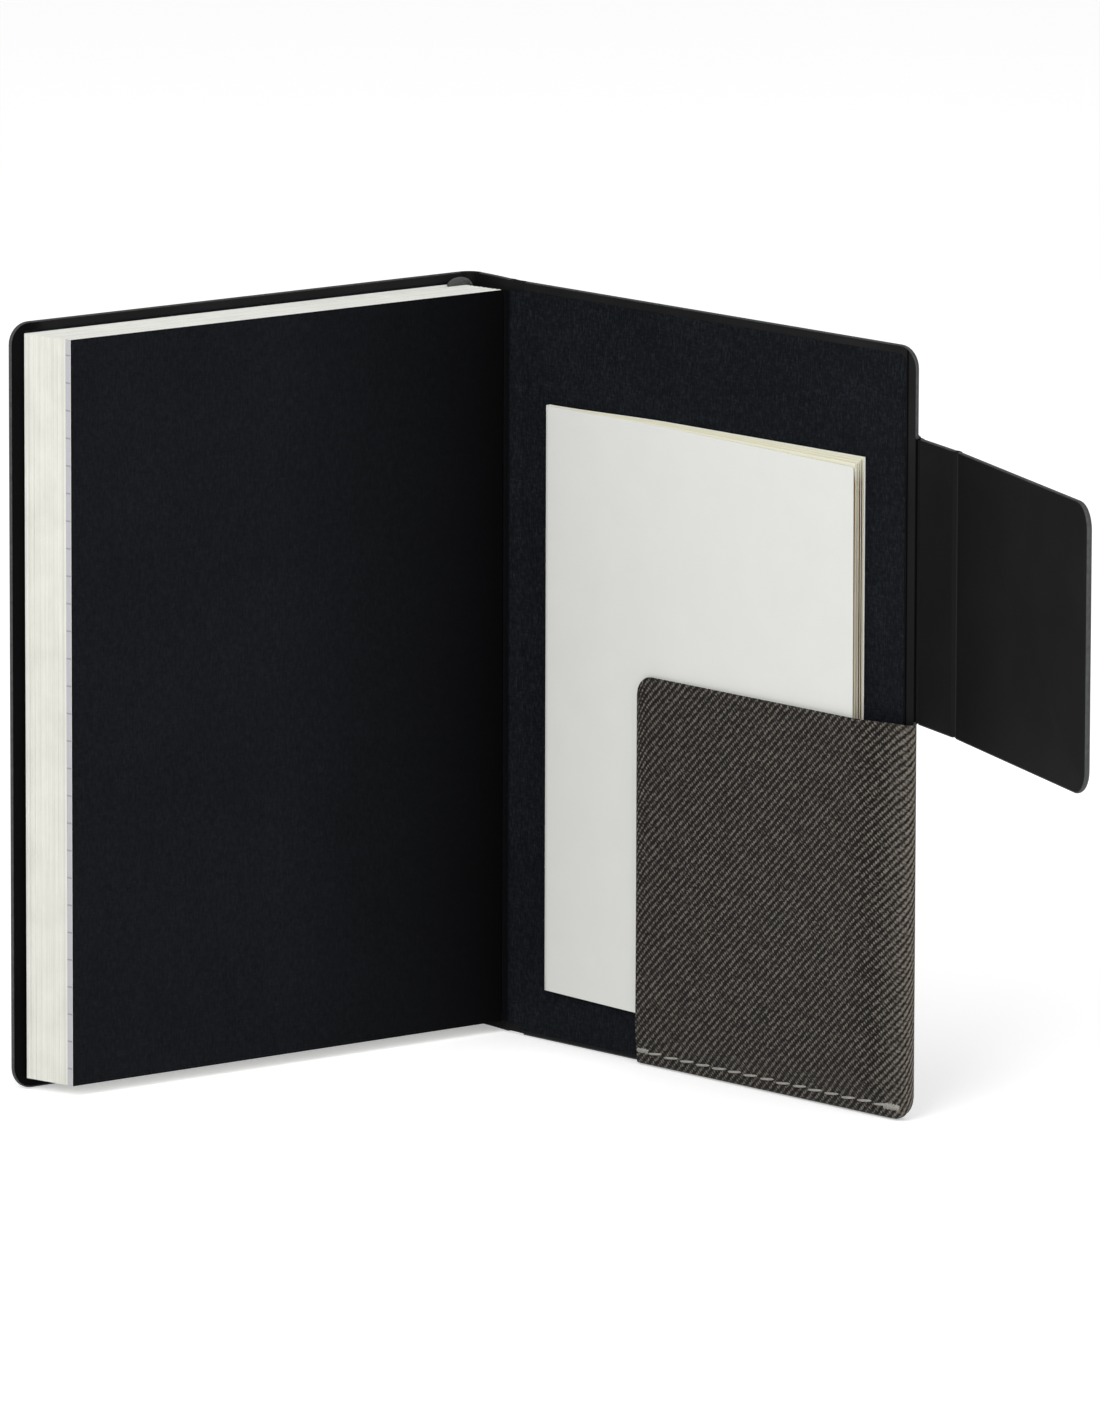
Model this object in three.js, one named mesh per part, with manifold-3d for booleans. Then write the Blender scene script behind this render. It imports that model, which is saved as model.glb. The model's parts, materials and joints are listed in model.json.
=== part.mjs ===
// A clothbound planner standing on its tail, opened at the back cover.
// Millimetres, +Z up. The viewer stands on the -Y side: the page block runs to the left of the
// spine with the front cover behind it, the back cover runs to the right and carries a pocket
// with a booklet, and a magnetic flap in two parts ends it.

import * as THREE from "three";
import { mergeVertices } from "three/addons/utils/BufferGeometryUtils.js";
import Module from "manifold-3d";

const wasm = await Module();
wasm.setup();

// Driving sizes of the case
const SQUARE_ENDS = 3; // case beyond the pages at head and tail
const SQUARE_FORE = 8.4; // flap hinge line beyond the fore-edge of the last leaf
const COVER_CORNER_RADIUS = 6;
const CLOTH = 0.5; // twill covering
const BOARD = 1.1;
const LINING = 0.3;
const PASTEDOWN = 0.2;
const PASTEDOWN_MARGIN_FORE = 4.4;
const PASTEDOWN_MARGIN_ENDS = 2.4;
const SPINE_BOARD_SETBACK = 3; // bare cloth from a hinge line to the board
const DIP_FOOT = 1.8; // hinge line to where the cloth starts to climb over the board
const DIP_HEAD = 2.6; // hinge line to where it has climbed
const CREASE_SETBACK = 1.5; // hinge line of the flap to its boards
const SPINE_HOLLOW = 1.8; // spine edge of the last leaf to the spine lining

// Driving sizes of the page block
const PAGE_WIDTH = 144.5;
const PAGE_HEIGHT = 204;
const BLOCK_THICKNESS = 16.6;
const BLOCK_LEAN = 3.9; // how far the first leaf has slid past the last one
const FLY_LEAF = 0.2;
const SECTION_COUNT = 10;
const REAR_SECTIONS = 3; // sections that turn with the last leaf
const FRONT_SECTIONS = 2; // sections that turn towards the front cover
const FOLD_ROUNDING = 0.45;
const GAUZE = 0.3;
const GAUZE_SHORTFALL = 4; // gauze end to page end

// Driving sizes of the marker ribbon
const RIBBON_WIDTH = 6.6;
const RIBBON_THICKNESS = 0.3;
const RIBBON_SLOT = 0.6;
const RIBBON_FROM_SPINE = 6.6; // spine edge of the last leaf to the ribbon's middle
const RIBBON_RISE = 3.2; // loop above the page tops
const RIBBON_FOOT = 14; // bottom of the ribbon above the page foot
const RIBBON_TUCK = 3.2; // straight run of the loop below the page tops
const RIBBON_GLUED = 9; // run glued behind the block

// Driving sizes of the pocket and booklet
const POCKET_WIDTH = 105.5;
const POCKET_HEIGHT = 108;
const POCKET_CORNER_RADIUS = 5.5;
const POCKET_TAPER_TOP = 9.5;
const POCKET_TAPER_FOOT = 3.4;
const BOOKLET_WIDTH = 121;
const BOOKLET_HEIGHT = 162.7;
const BOOKLET_THICKNESS = 2.2;
const BOOKLET_FROM_HINGE = 14;
const BOOKLET_FOOT = 14.6;
const BOOKLET_COVER = 0.3;
const BOOKLET_SHEETS = 4;
const STAPLE_WIRE = 0.4;
const STAPLE_CROWN = 12;
const STAPLE_LEG = 1;
const STAPLE_INSET = 40; // booklet end to the nearest staple's middle

// Driving sizes of the flap and its magnets
const FLAP_HEIGHT = 77.4;
const FLAP_PANEL_LENGTH = 88;
const FLAP_CORNER_RADIUS = 7;
const MAGNET_RADIUS = 5;
const MAGNET_THICKNESS = 1;
const MAGNET_INSET = 14; // flap end to magnet middle
const MAGNET_SPREAD = 44; // middle to middle

// Clearances
const PLY_GAP = 0.05; // glue line between two layers
const HINGE_GAP = 0.35; // hinge line to the cloth's edge
const CREASE_GAP = 0.3;
const LEAF_CLEARANCE = 0.2;
const POCKET_CLEARANCE = 0.2;
const FLAP_CLEARANCE = 0.3;
const FORE_CLEARANCE = 0.6; // front cover to closed flap
const MAGNET_CLEARANCE = 0.1;
const STAPLE_CLEARANCE = 0.1;
const RIBBON_END_GAP = 0.3;

// How far each part stands open
const BLOCK_TURN = 37.3; // block away from the picture plane, degrees
const BACK_COVER_OPEN = 96.5; // back cover away from the last leaf
const FLAP_STRIP_BEND = 18.3;
const FLAP_PANEL_BEND = 4;

const CORNER_SEGMENTS = 5;
const DISC_SEGMENTS = 24;
const LOOP_STEPS = 12;
const MERGE_REACH = 1e-4; // points nearer than this are one point

// Sizes that follow from the driving ones
const COVER_HEIGHT = PAGE_HEIGHT + 2 * SQUARE_ENDS;
const BACK_COVER_REACH = SPINE_HOLLOW + PAGE_WIDTH + SQUARE_FORE; // spine hinge line to flap hinge line
const COVER_THICKNESS = LINING + BOARD + CLOTH + 2 * PLY_GAP;
const PASTEDOWN_RISE = PASTEDOWN + PLY_GAP;
const BOOKLET_BACK = PASTEDOWN_RISE + POCKET_CLEARANCE;
const POCKET_DEPTH = BOOKLET_BACK + BOOKLET_THICKNESS + POCKET_CLEARANCE;
const REAR_STANDOFF = POCKET_DEPTH + CLOTH + LEAF_CLEARANCE + PLY_GAP;
const FRONT_STANDOFF = PASTEDOWN_RISE + LEAF_CLEARANCE;
const SPINE_WIDTH = REAR_STANDOFF + BLOCK_THICKNESS + FRONT_STANDOFF;
const FRONT_COVER_REACH = BACK_COVER_REACH - FORE_CLEARANCE;
const FLAP_STRIP_LENGTH = SPINE_WIDTH + COVER_THICKNESS + FLAP_CLEARANCE;
const FLAP_FOOT = POCKET_HEIGHT + FLAP_CLEARANCE;
const FLAP_MIDDLE = FLAP_FOOT + FLAP_HEIGHT / 2;
const PAGE_TOP = SQUARE_ENDS + PAGE_HEIGHT;
const BLOCK_PITCH = (BLOCK_THICKNESS - RIBBON_SLOT - 2 * (FLY_LEAF + PLY_GAP)) / SECTION_COUNT;
const MIDDLE_SECTIONS = SECTION_COUNT - REAR_SECTIONS - FRONT_SECTIONS;
const SLOT_START = FLY_LEAF + PLY_GAP + (REAR_SECTIONS + MIDDLE_SECTIONS) * BLOCK_PITCH;
const SPINE_MIDDLE = (BLOCK_THICKNESS + FRONT_STANDOFF - REAR_STANDOFF) / 2;

const radians = (degrees) => THREE.MathUtils.degToRad(degrees);

// Materials
const twill = new THREE.MeshStandardMaterial({ color: 0x46403a, roughness: 0.9, metalness: 0 });
const greyboard = new THREE.MeshStandardMaterial({ color: 0x77716a, roughness: 0.95, metalness: 0 });
const blackLining = new THREE.MeshStandardMaterial({ color: 0x1c1c1c, roughness: 0.7, metalness: 0 });
const blackPaper = new THREE.MeshStandardMaterial({ color: 0x15181c, roughness: 0.85, metalness: 0 });
const ivoryPaper = new THREE.MeshStandardMaterial({ color: 0xe6e5dc, roughness: 0.9, metalness: 0 });
const gauzeCloth = new THREE.MeshStandardMaterial({ color: 0xd0c8b4, roughness: 0.95, metalness: 0 });
const satin = new THREE.MeshStandardMaterial({ color: 0x3e403c, roughness: 0.5, metalness: 0 });
const coverCard = new THREE.MeshStandardMaterial({ color: 0xdededa, roughness: 0.8, metalness: 0 });
const creamPaper = new THREE.MeshStandardMaterial({ color: 0xe8e6cd, roughness: 0.9, metalness: 0 });
const steelWire = new THREE.MeshStandardMaterial({ color: 0xb0b0ae, roughness: 0.3, metalness: 1 });
const magnetSteel = new THREE.MeshStandardMaterial({ color: 0x9c9c9e, roughness: 0.35, metalness: 1 });

function mesh(name, geometry, material) {
  const piece = new THREE.Mesh(geometry, material);
  piece.name = name;
  return piece;
}

// A closed outline drawn in x and y, from a list of points
function outlineOf(points) {
  return new THREE.Shape(points.map(([x, y]) => new THREE.Vector2(x, y)));
}

// A rectangle with its own radius at each corner, named from the low-x, low-y one round
function roundedOutline(x0, y0, x1, y1, radii) {
  const [r00, r10, r11, r01] = radii;
  const shape = new THREE.Shape();
  shape.moveTo(x0 + r00, y0);
  shape.lineTo(x1 - r10, y0);
  if (r10 > 0) shape.absarc(x1 - r10, y0 + r10, r10, -Math.PI / 2, 0);
  shape.lineTo(x1, y1 - r11);
  if (r11 > 0) shape.absarc(x1 - r11, y1 - r11, r11, 0, Math.PI / 2);
  shape.lineTo(x0 + r01, y1);
  if (r01 > 0) shape.absarc(x0 + r01, y1 - r01, r01, Math.PI / 2, Math.PI);
  shape.lineTo(x0, y0 + r00);
  if (r00 > 0) shape.absarc(x0 + r00, y0 + r00, r00, Math.PI, Math.PI * 1.5);
  return shape;
}

// A plan outline raised from one height to another
function upright(shape, z0, z1) {
  const geometry = new THREE.ExtrudeGeometry(shape, {
    depth: z1 - z0,
    bevelEnabled: false,
    curveSegments: CORNER_SEGMENTS,
  });
  return geometry.translate(0, 0, z0);
}

// An outline drawn in x and z, thick from y0 to y1
function slab(shape, y0, y1) {
  const geometry = new THREE.ExtrudeGeometry(shape, {
    depth: y1 - y0,
    bevelEnabled: false,
    curveSegments: CORNER_SEGMENTS,
  });
  return geometry.rotateX(Math.PI / 2).translate(0, y1, 0);
}

// An outline drawn in y and z, running from x0 to x1
function rail(shape, x0, x1) {
  const geometry = new THREE.ExtrudeGeometry(shape, { depth: x1 - x0, bevelEnabled: false });
  geometry.applyMatrix4(new THREE.Matrix4().set(0, 0, 1, x0, 1, 0, 0, 0, 0, 1, 0, 0, 0, 0, 0, 1));
  return geometry;
}

function toSolid(geometry) {
  const bare = geometry.clone();
  bare.deleteAttribute("normal");
  bare.deleteAttribute("uv");
  const merged = mergeVertices(bare, MERGE_REACH);
  return new wasm.Manifold(
    new wasm.Mesh({
      numProp: 3,
      vertProperties: new Float32Array(merged.attributes.position.array),
      triVerts: new Uint32Array(merged.index.array),
    }),
  );
}

function toGeometry(solid) {
  const data = solid.getMesh();
  const geometry = new THREE.BufferGeometry();
  geometry.setAttribute("position", new THREE.BufferAttribute(new Float32Array(data.vertProperties), 3));
  geometry.setIndex(new THREE.BufferAttribute(new Uint32Array(data.triVerts), 1));
  geometry.computeVertexNormals();
  return geometry;
}

const common = (a, b) => toGeometry(toSolid(a).intersect(toSolid(b)));
const joined = (a, b) => toGeometry(toSolid(a).add(toSolid(b)));
const cutAway = (a, ...rest) => toGeometry(rest.reduce((solid, b) => solid.subtract(toSolid(b)), toSolid(a)));

// The same piece seen in a mirror across x, with its faces still pointing out
function mirrored(geometry) {
  const copy = geometry.index ? geometry.clone() : mergeVertices(geometry.clone());
  copy.scale(-1, 1, 1);
  const index = copy.index.array;
  for (let i = 0; i < index.length; i += 3) {
    [index[i], index[i + 1]] = [index[i + 1], index[i]];
  }
  return copy;
}

// One case part lies along x from its hinge line at 0, with its lining at y = 0 and its cloth
// outside at +y. A hinged end has bare cloth that dips to the hinge line, a creased end stops
// just short of its crease, and a free end is turned in over the board.
const INSIDE_OF_BOARD = LINING + PLY_GAP;
const OUTSIDE_OF_BOARD = INSIDE_OF_BOARD + BOARD;
const INSIDE_OF_CLOTH = OUTSIDE_OF_BOARD + PLY_GAP;

function clothProfile(part) {
  const { reach, start, end } = part;
  const half = CLOTH / 2;
  const low = INSIDE_OF_BOARD;
  const high = COVER_THICKNESS;
  const points = [];
  if (start === "hinge") {
    points.push([HINGE_GAP, half], [HINGE_GAP, -half], [DIP_FOOT, -half], [DIP_HEAD, low]);
  } else {
    points.push([CREASE_GAP, high], [CREASE_GAP, low]);
  }
  if (end === "hinge") {
    points.push([reach - DIP_HEAD, low], [reach - DIP_FOOT, -half]);
    points.push([reach - HINGE_GAP, -half], [reach - HINGE_GAP, half]);
    points.push([reach - DIP_FOOT, half], [reach - DIP_HEAD, high]);
  } else {
    const edge = end === "crease" ? reach - CREASE_GAP : reach;
    points.push([edge, low], [edge, high]);
  }
  if (start === "hinge") points.push([DIP_HEAD, high], [DIP_FOOT, half]);
  return outlineOf(points);
}

function boardSpan(part) {
  const low = part.start === "hinge" ? SPINE_BOARD_SETBACK : CREASE_SETBACK;
  const back = { hinge: SPINE_BOARD_SETBACK, crease: CREASE_SETBACK, free: CLOTH + PLY_GAP };
  return [low, part.reach - back[part.end]];
}

function boardOutline(part, grow) {
  const [x0, x1] = boardSpan(part);
  const inset = CLOTH + PLY_GAP - grow;
  const r = Math.max(part.radius - CLOTH, 0);
  const foot = part.foot + inset;
  const head = part.foot + part.height - inset;
  return roundedOutline(x0 - grow, foot, x1 + grow, head, [0, r, r, 0]);
}

function partCloth(part) {
  const r = part.radius;
  const head = part.foot + part.height;
  const whole = upright(clothProfile(part), part.foot, head);
  const face = roundedOutline(0, part.foot, part.reach, head, [0, r, r, 0]);
  const trim = slab(face, -CLOTH, COVER_THICKNESS + CLOTH);
  const hollow = slab(boardOutline(part, PLY_GAP), 0, INSIDE_OF_CLOTH);
  return cutAway(common(whole, trim), hollow);
}

function partBoard(part) {
  const body = slab(boardOutline(part, 0), INSIDE_OF_BOARD, OUTSIDE_OF_BOARD);
  const radius = MAGNET_RADIUS + MAGNET_CLEARANCE;
  const holes = magnetPlaces(part).map(([x, z]) => disc(x, z, radius, 0, COVER_THICKNESS));
  return holes.length > 0 ? cutAway(body, ...holes) : body;
}

function partLining(part) {
  const x0 = part.start === "hinge" ? SPINE_BOARD_SETBACK : CREASE_GAP;
  const back = { hinge: SPINE_BOARD_SETBACK, crease: CREASE_GAP, free: 0 };
  const x1 = part.reach - back[part.end];
  const r = part.radius;
  return slab(roundedOutline(x0, part.foot, x1, part.foot + part.height, [0, r, r, 0]), 0, LINING);
}

function disc(x, z, radius, y0, y1) {
  const geometry = new THREE.CylinderGeometry(radius, radius, y1 - y0, DISC_SEGMENTS);
  return geometry.translate(x, (y0 + y1) / 2, z);
}

// Middles of the magnets in a case part, as x and z
function magnetPlaces(part) {
  if (part.magnets === undefined) return [];
  return [FLAP_MIDDLE + MAGNET_SPREAD / 2, FLAP_MIDDLE - MAGNET_SPREAD / 2].map((z) => [part.magnets, z]);
}

function magnets(name, part) {
  const low = INSIDE_OF_BOARD + (BOARD - MAGNET_THICKNESS) / 2;
  const labels = ["upper", "lower"];
  return magnetPlaces(part).map(([x, z], i) =>
    mesh(`${name}_${labels[i]}`, disc(x, z, MAGNET_RADIUS, low, low + MAGNET_THICKNESS), magnetSteel),
  );
}

function pastedown(reach) {
  const shape = roundedOutline(
    SPINE_BOARD_SETBACK,
    PASTEDOWN_MARGIN_ENDS,
    reach - PASTEDOWN_MARGIN_FORE,
    COVER_HEIGHT - PASTEDOWN_MARGIN_ENDS,
    [0, 0, 0, 0],
  );
  return slab(shape, -PASTEDOWN_RISE, -PLY_GAP);
}

const frontCover = {
  reach: FRONT_COVER_REACH,
  start: "hinge",
  end: "free",
  foot: 0,
  height: COVER_HEIGHT,
  radius: COVER_CORNER_RADIUS,
  magnets: BACK_COVER_REACH - FLAP_PANEL_LENGTH + MAGNET_INSET,
};
const backCover = {
  reach: BACK_COVER_REACH,
  start: "hinge",
  end: "crease",
  foot: 0,
  height: COVER_HEIGHT,
  radius: COVER_CORNER_RADIUS,
};
const spine = { reach: SPINE_WIDTH, start: "hinge", end: "hinge", foot: 0, height: COVER_HEIGHT, radius: 0 };
const flapStrip = {
  reach: FLAP_STRIP_LENGTH,
  start: "crease",
  end: "crease",
  foot: FLAP_FOOT,
  height: FLAP_HEIGHT,
  radius: 0,
};
const flapPanel = {
  reach: FLAP_PANEL_LENGTH,
  start: "crease",
  end: "free",
  foot: FLAP_FOOT,
  height: FLAP_HEIGHT,
  radius: FLAP_CORNER_RADIUS,
  magnets: FLAP_PANEL_LENGTH - MAGNET_INSET,
};

function addCasePart(group, name, part, flip = (geometry) => geometry) {
  group.add(mesh(`${name}_cloth`, flip(partCloth(part)), twill));
  group.add(mesh(`${name}_board`, flip(partBoard(part)), greyboard));
  group.add(mesh(`${name}_lining`, flip(partLining(part)), blackLining));
}

// The block lies along -x from the spine edge of its last leaf at the origin, and its
// thickness runs along +y to the front cover.
const leanAt = (y) => (BLOCK_LEAN * y) / BLOCK_THICKNESS;

function leaf(y0) {
  const spineEdge = -leanAt(y0);
  const shape = roundedOutline(spineEdge - PAGE_WIDTH, SQUARE_ENDS, spineEdge, PAGE_TOP, [0, 0, 0, 0]);
  return slab(shape, y0, y0 + FLY_LEAF);
}

// A folded and sewn section: a leaning stack with a rounded fold at the spine. The fold is a
// parabola, so half way out from the middle a quarter of the rounding is reached.
function section(y0, y1) {
  const middle = (y0 + y1) / 2;
  const outward = (y1 - y0) / 4;
  const eased = FOLD_ROUNDING / 4;
  const points = [
    [-leanAt(y0) - FOLD_ROUNDING, y0],
    [-leanAt(middle - outward) - eased, middle - outward],
    [-leanAt(middle), middle],
    [-leanAt(middle + outward) - eased, middle + outward],
    [-leanAt(y1) - FOLD_ROUNDING, y1],
    [-leanAt(y1) - PAGE_WIDTH, y1],
    [-leanAt(y0) - PAGE_WIDTH, y0],
  ];
  return upright(outlineOf(points), SQUARE_ENDS, PAGE_TOP);
}

function sectionStart(index) {
  const past = index >= REAR_SECTIONS + MIDDLE_SECTIONS ? RIBBON_SLOT : 0;
  return FLY_LEAF + PLY_GAP + index * BLOCK_PITCH + past;
}

function addSections(group) {
  for (let i = 0; i < SECTION_COUNT; i += 1) {
    const y0 = sectionStart(i);
    const name = `page_section_${String(SECTION_COUNT - i).padStart(2, "0")}`;
    group.add(mesh(name, section(y0, y0 + BLOCK_PITCH - PLY_GAP), ivoryPaper));
  }
}

function spineGauze() {
  const inner = (y) => [-leanAt(y) + PLY_GAP, y];
  const outer = (y) => [-leanAt(y) + PLY_GAP + GAUZE, y];
  const y0 = FLY_LEAF + LEAF_CLEARANCE;
  const y1 = BLOCK_THICKNESS - FLY_LEAF - LEAF_CLEARANCE;
  const shape = outlineOf([inner(y0), outer(y0), outer(y1), inner(y1)]);
  return upright(shape, SQUARE_ENDS + GAUZE_SHORTFALL, PAGE_TOP - GAUZE_SHORTFALL - RIBBON_TUCK);
}

// The marker lies in a slot between two sections and swings about a point near its head
const RIBBON_Y = SLOT_START + (RIBBON_SLOT - PLY_GAP) / 2;
const RIBBON_PIVOT_Z = PAGE_TOP - RIBBON_TUCK - RIBBON_END_GAP - RIBBON_WIDTH / 2;

function ribbonTail() {
  const r = RIBBON_WIDTH / 2;
  const x = -RIBBON_FROM_SPINE;
  const shape = roundedOutline(x - r, SQUARE_ENDS + RIBBON_FOOT, x + r, RIBBON_PIVOT_Z + r, [0, 0, r, r]);
  return slab(shape, RIBBON_Y - RIBBON_THICKNESS / 2, RIBBON_Y + RIBBON_THICKNESS / 2);
}

// The loop climbs out of the slot, turns a quarter while it arches over the page tops and
// runs down behind the block, where it is glued.
function ribbonStations() {
  const rise = PAGE_TOP + RIBBON_END_GAP;
  const from = new THREE.Vector3(-RIBBON_FROM_SPINE, RIBBON_Y, rise);
  const to = new THREE.Vector3(-SPINE_HOLLOW / 2, RIBBON_Y + RIBBON_THICKNESS, rise);
  const start = from.clone().setZ(PAGE_TOP - RIBBON_TUCK);
  const stations = [{ centre: start, along: new THREE.Vector3(0, 0, 1), turn: 0 }];
  for (let i = 0; i <= LOOP_STEPS; i += 1) {
    const t = i / LOOP_STEPS;
    const angle = Math.PI * t;
    const centre = from.clone().lerp(to, (1 - Math.cos(angle)) / 2);
    centre.z = rise + (RIBBON_RISE - RIBBON_END_GAP - RIBBON_THICKNESS) * Math.sin(angle);
    const run = to.clone().sub(from).normalize();
    const along = run.multiplyScalar(Math.sin(angle)).add(new THREE.Vector3(0, 0, Math.cos(angle)));
    stations.push({ centre, along: along.normalize(), turn: (t * Math.PI) / 2 });
  }
  stations.push({
    centre: to.clone().setZ(PAGE_TOP - RIBBON_GLUED),
    along: new THREE.Vector3(0, 0, -1),
    turn: Math.PI / 2,
  });
  return stations;
}

function ribbonLoop() {
  const stations = ribbonStations();
  const positions = [];
  for (const { centre, along, turn } of stations) {
    const across = new THREE.Vector3(Math.cos(turn), -Math.sin(turn), 0);
    across.addScaledVector(along, -across.dot(along)).normalize();
    const through = new THREE.Vector3().crossVectors(along, across);
    for (const [w, t] of [[-1, -1], [1, -1], [1, 1], [-1, 1]]) {
      const corner = centre.clone();
      corner.addScaledVector(across, (w * RIBBON_WIDTH) / 2);
      corner.addScaledVector(through, (t * RIBBON_THICKNESS) / 2);
      positions.push(corner.x, corner.y, corner.z);
    }
  }
  const index = [0, 2, 1, 0, 3, 2];
  const last = (stations.length - 1) * 4;
  index.push(last, last + 1, last + 2, last, last + 2, last + 3);
  for (let s = 0; s < stations.length - 1; s += 1) {
    for (let side = 0; side < 4; side += 1) {
      const a = s * 4 + side;
      const b = s * 4 + ((side + 1) % 4);
      index.push(a, b, b + 4, a, b + 4, a + 4);
    }
  }
  const geometry = new THREE.BufferGeometry();
  geometry.setAttribute("position", new THREE.BufferAttribute(new Float32Array(positions), 3));
  geometry.setIndex(index);
  geometry.computeVertexNormals();
  return geometry;
}

// The pocket is the cover's cloth folded in round the fore-edge, open above and towards the
// spine, and brought down to the lining along a sewn foot.
function pocket() {
  const fold = BACK_COVER_REACH - CREASE_GAP + PLY_GAP;
  const foreEdge = fold + CLOTH;
  const spineEdge = foreEdge - POCKET_WIDTH;
  const face = -POCKET_DEPTH - CLOTH;
  const hem = -PASTEDOWN_RISE - PLY_GAP;
  const profile = outlineOf([
    [face, POCKET_HEIGHT],
    [face, POCKET_TAPER_TOP],
    [hem - CLOTH, POCKET_TAPER_FOOT],
    [hem - CLOTH, 0],
    [hem, 0],
    [hem, POCKET_TAPER_FOOT],
    [-POCKET_DEPTH, POCKET_TAPER_TOP],
    [-POCKET_DEPTH, POCKET_HEIGHT],
  ]);
  const panel = rail(profile, spineEdge, foreEdge);
  const wallShape = roundedOutline(fold, face, foreEdge, COVER_THICKNESS, [0, 0, 0, 0]);
  const wall = upright(wallShape, 0, POCKET_HEIGHT);
  const radii = [0, COVER_CORNER_RADIUS, 0, POCKET_CORNER_RADIUS];
  const outline = roundedOutline(spineEdge, 0, foreEdge, POCKET_HEIGHT, radii);
  const trim = slab(outline, face - CLOTH, COVER_THICKNESS + CLOTH);
  return common(joined(panel, wall), trim);
}

// The booklet lies flat behind the pocket with its fold towards the spine
const BOOKLET_FRONT = BOOKLET_BACK + BOOKLET_THICKNESS;
const SHEET = (BOOKLET_THICKNESS - 2 * BOOKLET_COVER) / (2 * BOOKLET_SHEETS) - PLY_GAP;

// A folded sheet seen from above, with the given inset and thickness
function foldedSheet(inset, thickness) {
  const x0 = BOOKLET_FROM_HINGE + inset;
  const x1 = BOOKLET_FROM_HINGE + BOOKLET_WIDTH;
  const front = -BOOKLET_FRONT + inset;
  const back = -BOOKLET_BACK - inset;
  const points = [
    [x0, front],
    [x1, front],
    [x1, front + thickness],
    [x0 + thickness, front + thickness],
    [x0 + thickness, back - thickness],
    [x1, back - thickness],
    [x1, back],
    [x0, back],
  ];
  return upright(outlineOf(points), BOOKLET_FOOT, BOOKLET_FOOT + BOOKLET_HEIGHT);
}

function stapleOutline(z, grow) {
  const x0 = BOOKLET_FROM_HINGE - STAPLE_WIRE - PLY_GAP;
  const x1 = BOOKLET_FROM_HINGE - PLY_GAP;
  const x2 = BOOKLET_FROM_HINGE + BOOKLET_COVER + STAPLE_LEG;
  const half = STAPLE_CROWN / 2;
  const inner = half - STAPLE_WIRE;
  return outlineOf([
    [x0 - grow, z - half - grow],
    [x2 + grow, z - half - grow],
    [x2 + grow, z - inner + grow],
    [x1 + grow, z - inner + grow],
    [x1 + grow, z + inner - grow],
    [x2 + grow, z + inner - grow],
    [x2 + grow, z + half + grow],
    [x0 - grow, z + half + grow],
  ]);
}

function staple(z, grow) {
  const middle = -(BOOKLET_BACK + BOOKLET_FRONT) / 2;
  const half = STAPLE_WIRE / 2 + grow;
  return slab(stapleOutline(z, grow), middle - half, middle + half);
}

function addBooklet(group) {
  const places = [BOOKLET_FOOT + BOOKLET_HEIGHT - STAPLE_INSET, BOOKLET_FOOT + STAPLE_INSET];
  const holes = places.map((z) => staple(z, STAPLE_CLEARANCE));
  const labels = ["upper", "lower"];
  group.add(mesh("booklet_cover", cutAway(foldedSheet(0, BOOKLET_COVER), ...holes), coverCard));
  for (let i = 0; i < BOOKLET_SHEETS; i += 1) {
    const inset = BOOKLET_COVER + PLY_GAP + i * (SHEET + PLY_GAP);
    group.add(mesh(`booklet_sheet_${i + 1}`, cutAway(foldedSheet(inset, SHEET), ...holes), creamPaper));
  }
  places.forEach((z, i) => group.add(mesh(`booklet_staple_${labels[i]}`, staple(z, 0), steelWire)));
}

function pageBlock() {
  const group = new THREE.Group();
  group.add(mesh("back_fly_leaf", leaf(0), blackPaper));
  group.add(mesh("front_fly_leaf", leaf(BLOCK_THICKNESS - FLY_LEAF), blackPaper));
  addSections(group);
  group.add(mesh("spine_gauze", spineGauze(), gauzeCloth));
  group.add(mesh("ribbon_loop", ribbonLoop(), satin));
  group.add(mesh("ribbon_tail", ribbonTail(), satin));
  return group;
}

function spineGroup() {
  const group = new THREE.Group();
  addCasePart(group, "spine", spine);
  group.position.set(SPINE_HOLLOW, BLOCK_THICKNESS + FRONT_STANDOFF, 0);
  group.rotation.z = -Math.PI / 2;
  return group;
}

function frontCoverGroup() {
  const group = new THREE.Group();
  addCasePart(group, "front_cover", frontCover, mirrored);
  group.add(mesh("front_pastedown", mirrored(pastedown(FRONT_COVER_REACH)), blackPaper));
  for (const magnet of magnets("cover_magnet", frontCover)) {
    magnet.geometry = mirrored(magnet.geometry);
    group.add(magnet);
  }
  group.position.set(SPINE_HOLLOW, BLOCK_THICKNESS + FRONT_STANDOFF, 0);
  return group;
}

function flapPanelGroup() {
  const group = new THREE.Group();
  addCasePart(group, "flap_panel", flapPanel);
  group.add(...magnets("flap_magnet", flapPanel));
  group.position.x = FLAP_STRIP_LENGTH;
  group.rotation.z = -radians(FLAP_PANEL_BEND);
  return group;
}

function flapStripGroup() {
  const group = new THREE.Group();
  addCasePart(group, "flap_strip", flapStrip);
  group.add(flapPanelGroup());
  group.position.x = BACK_COVER_REACH;
  group.rotation.z = -radians(FLAP_STRIP_BEND);
  return group;
}

function backCoverGroup() {
  const group = new THREE.Group();
  addCasePart(group, "back_cover", backCover);
  group.add(mesh("back_pastedown", pastedown(BACK_COVER_REACH), blackPaper));
  group.add(mesh("pocket", pocket(), twill));
  addBooklet(group);
  group.add(flapStripGroup());
  group.position.set(SPINE_HOLLOW, -REAR_STANDOFF, 0);
  group.rotation.z = radians(BACK_COVER_OPEN - 180);
  return group;
}

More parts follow.
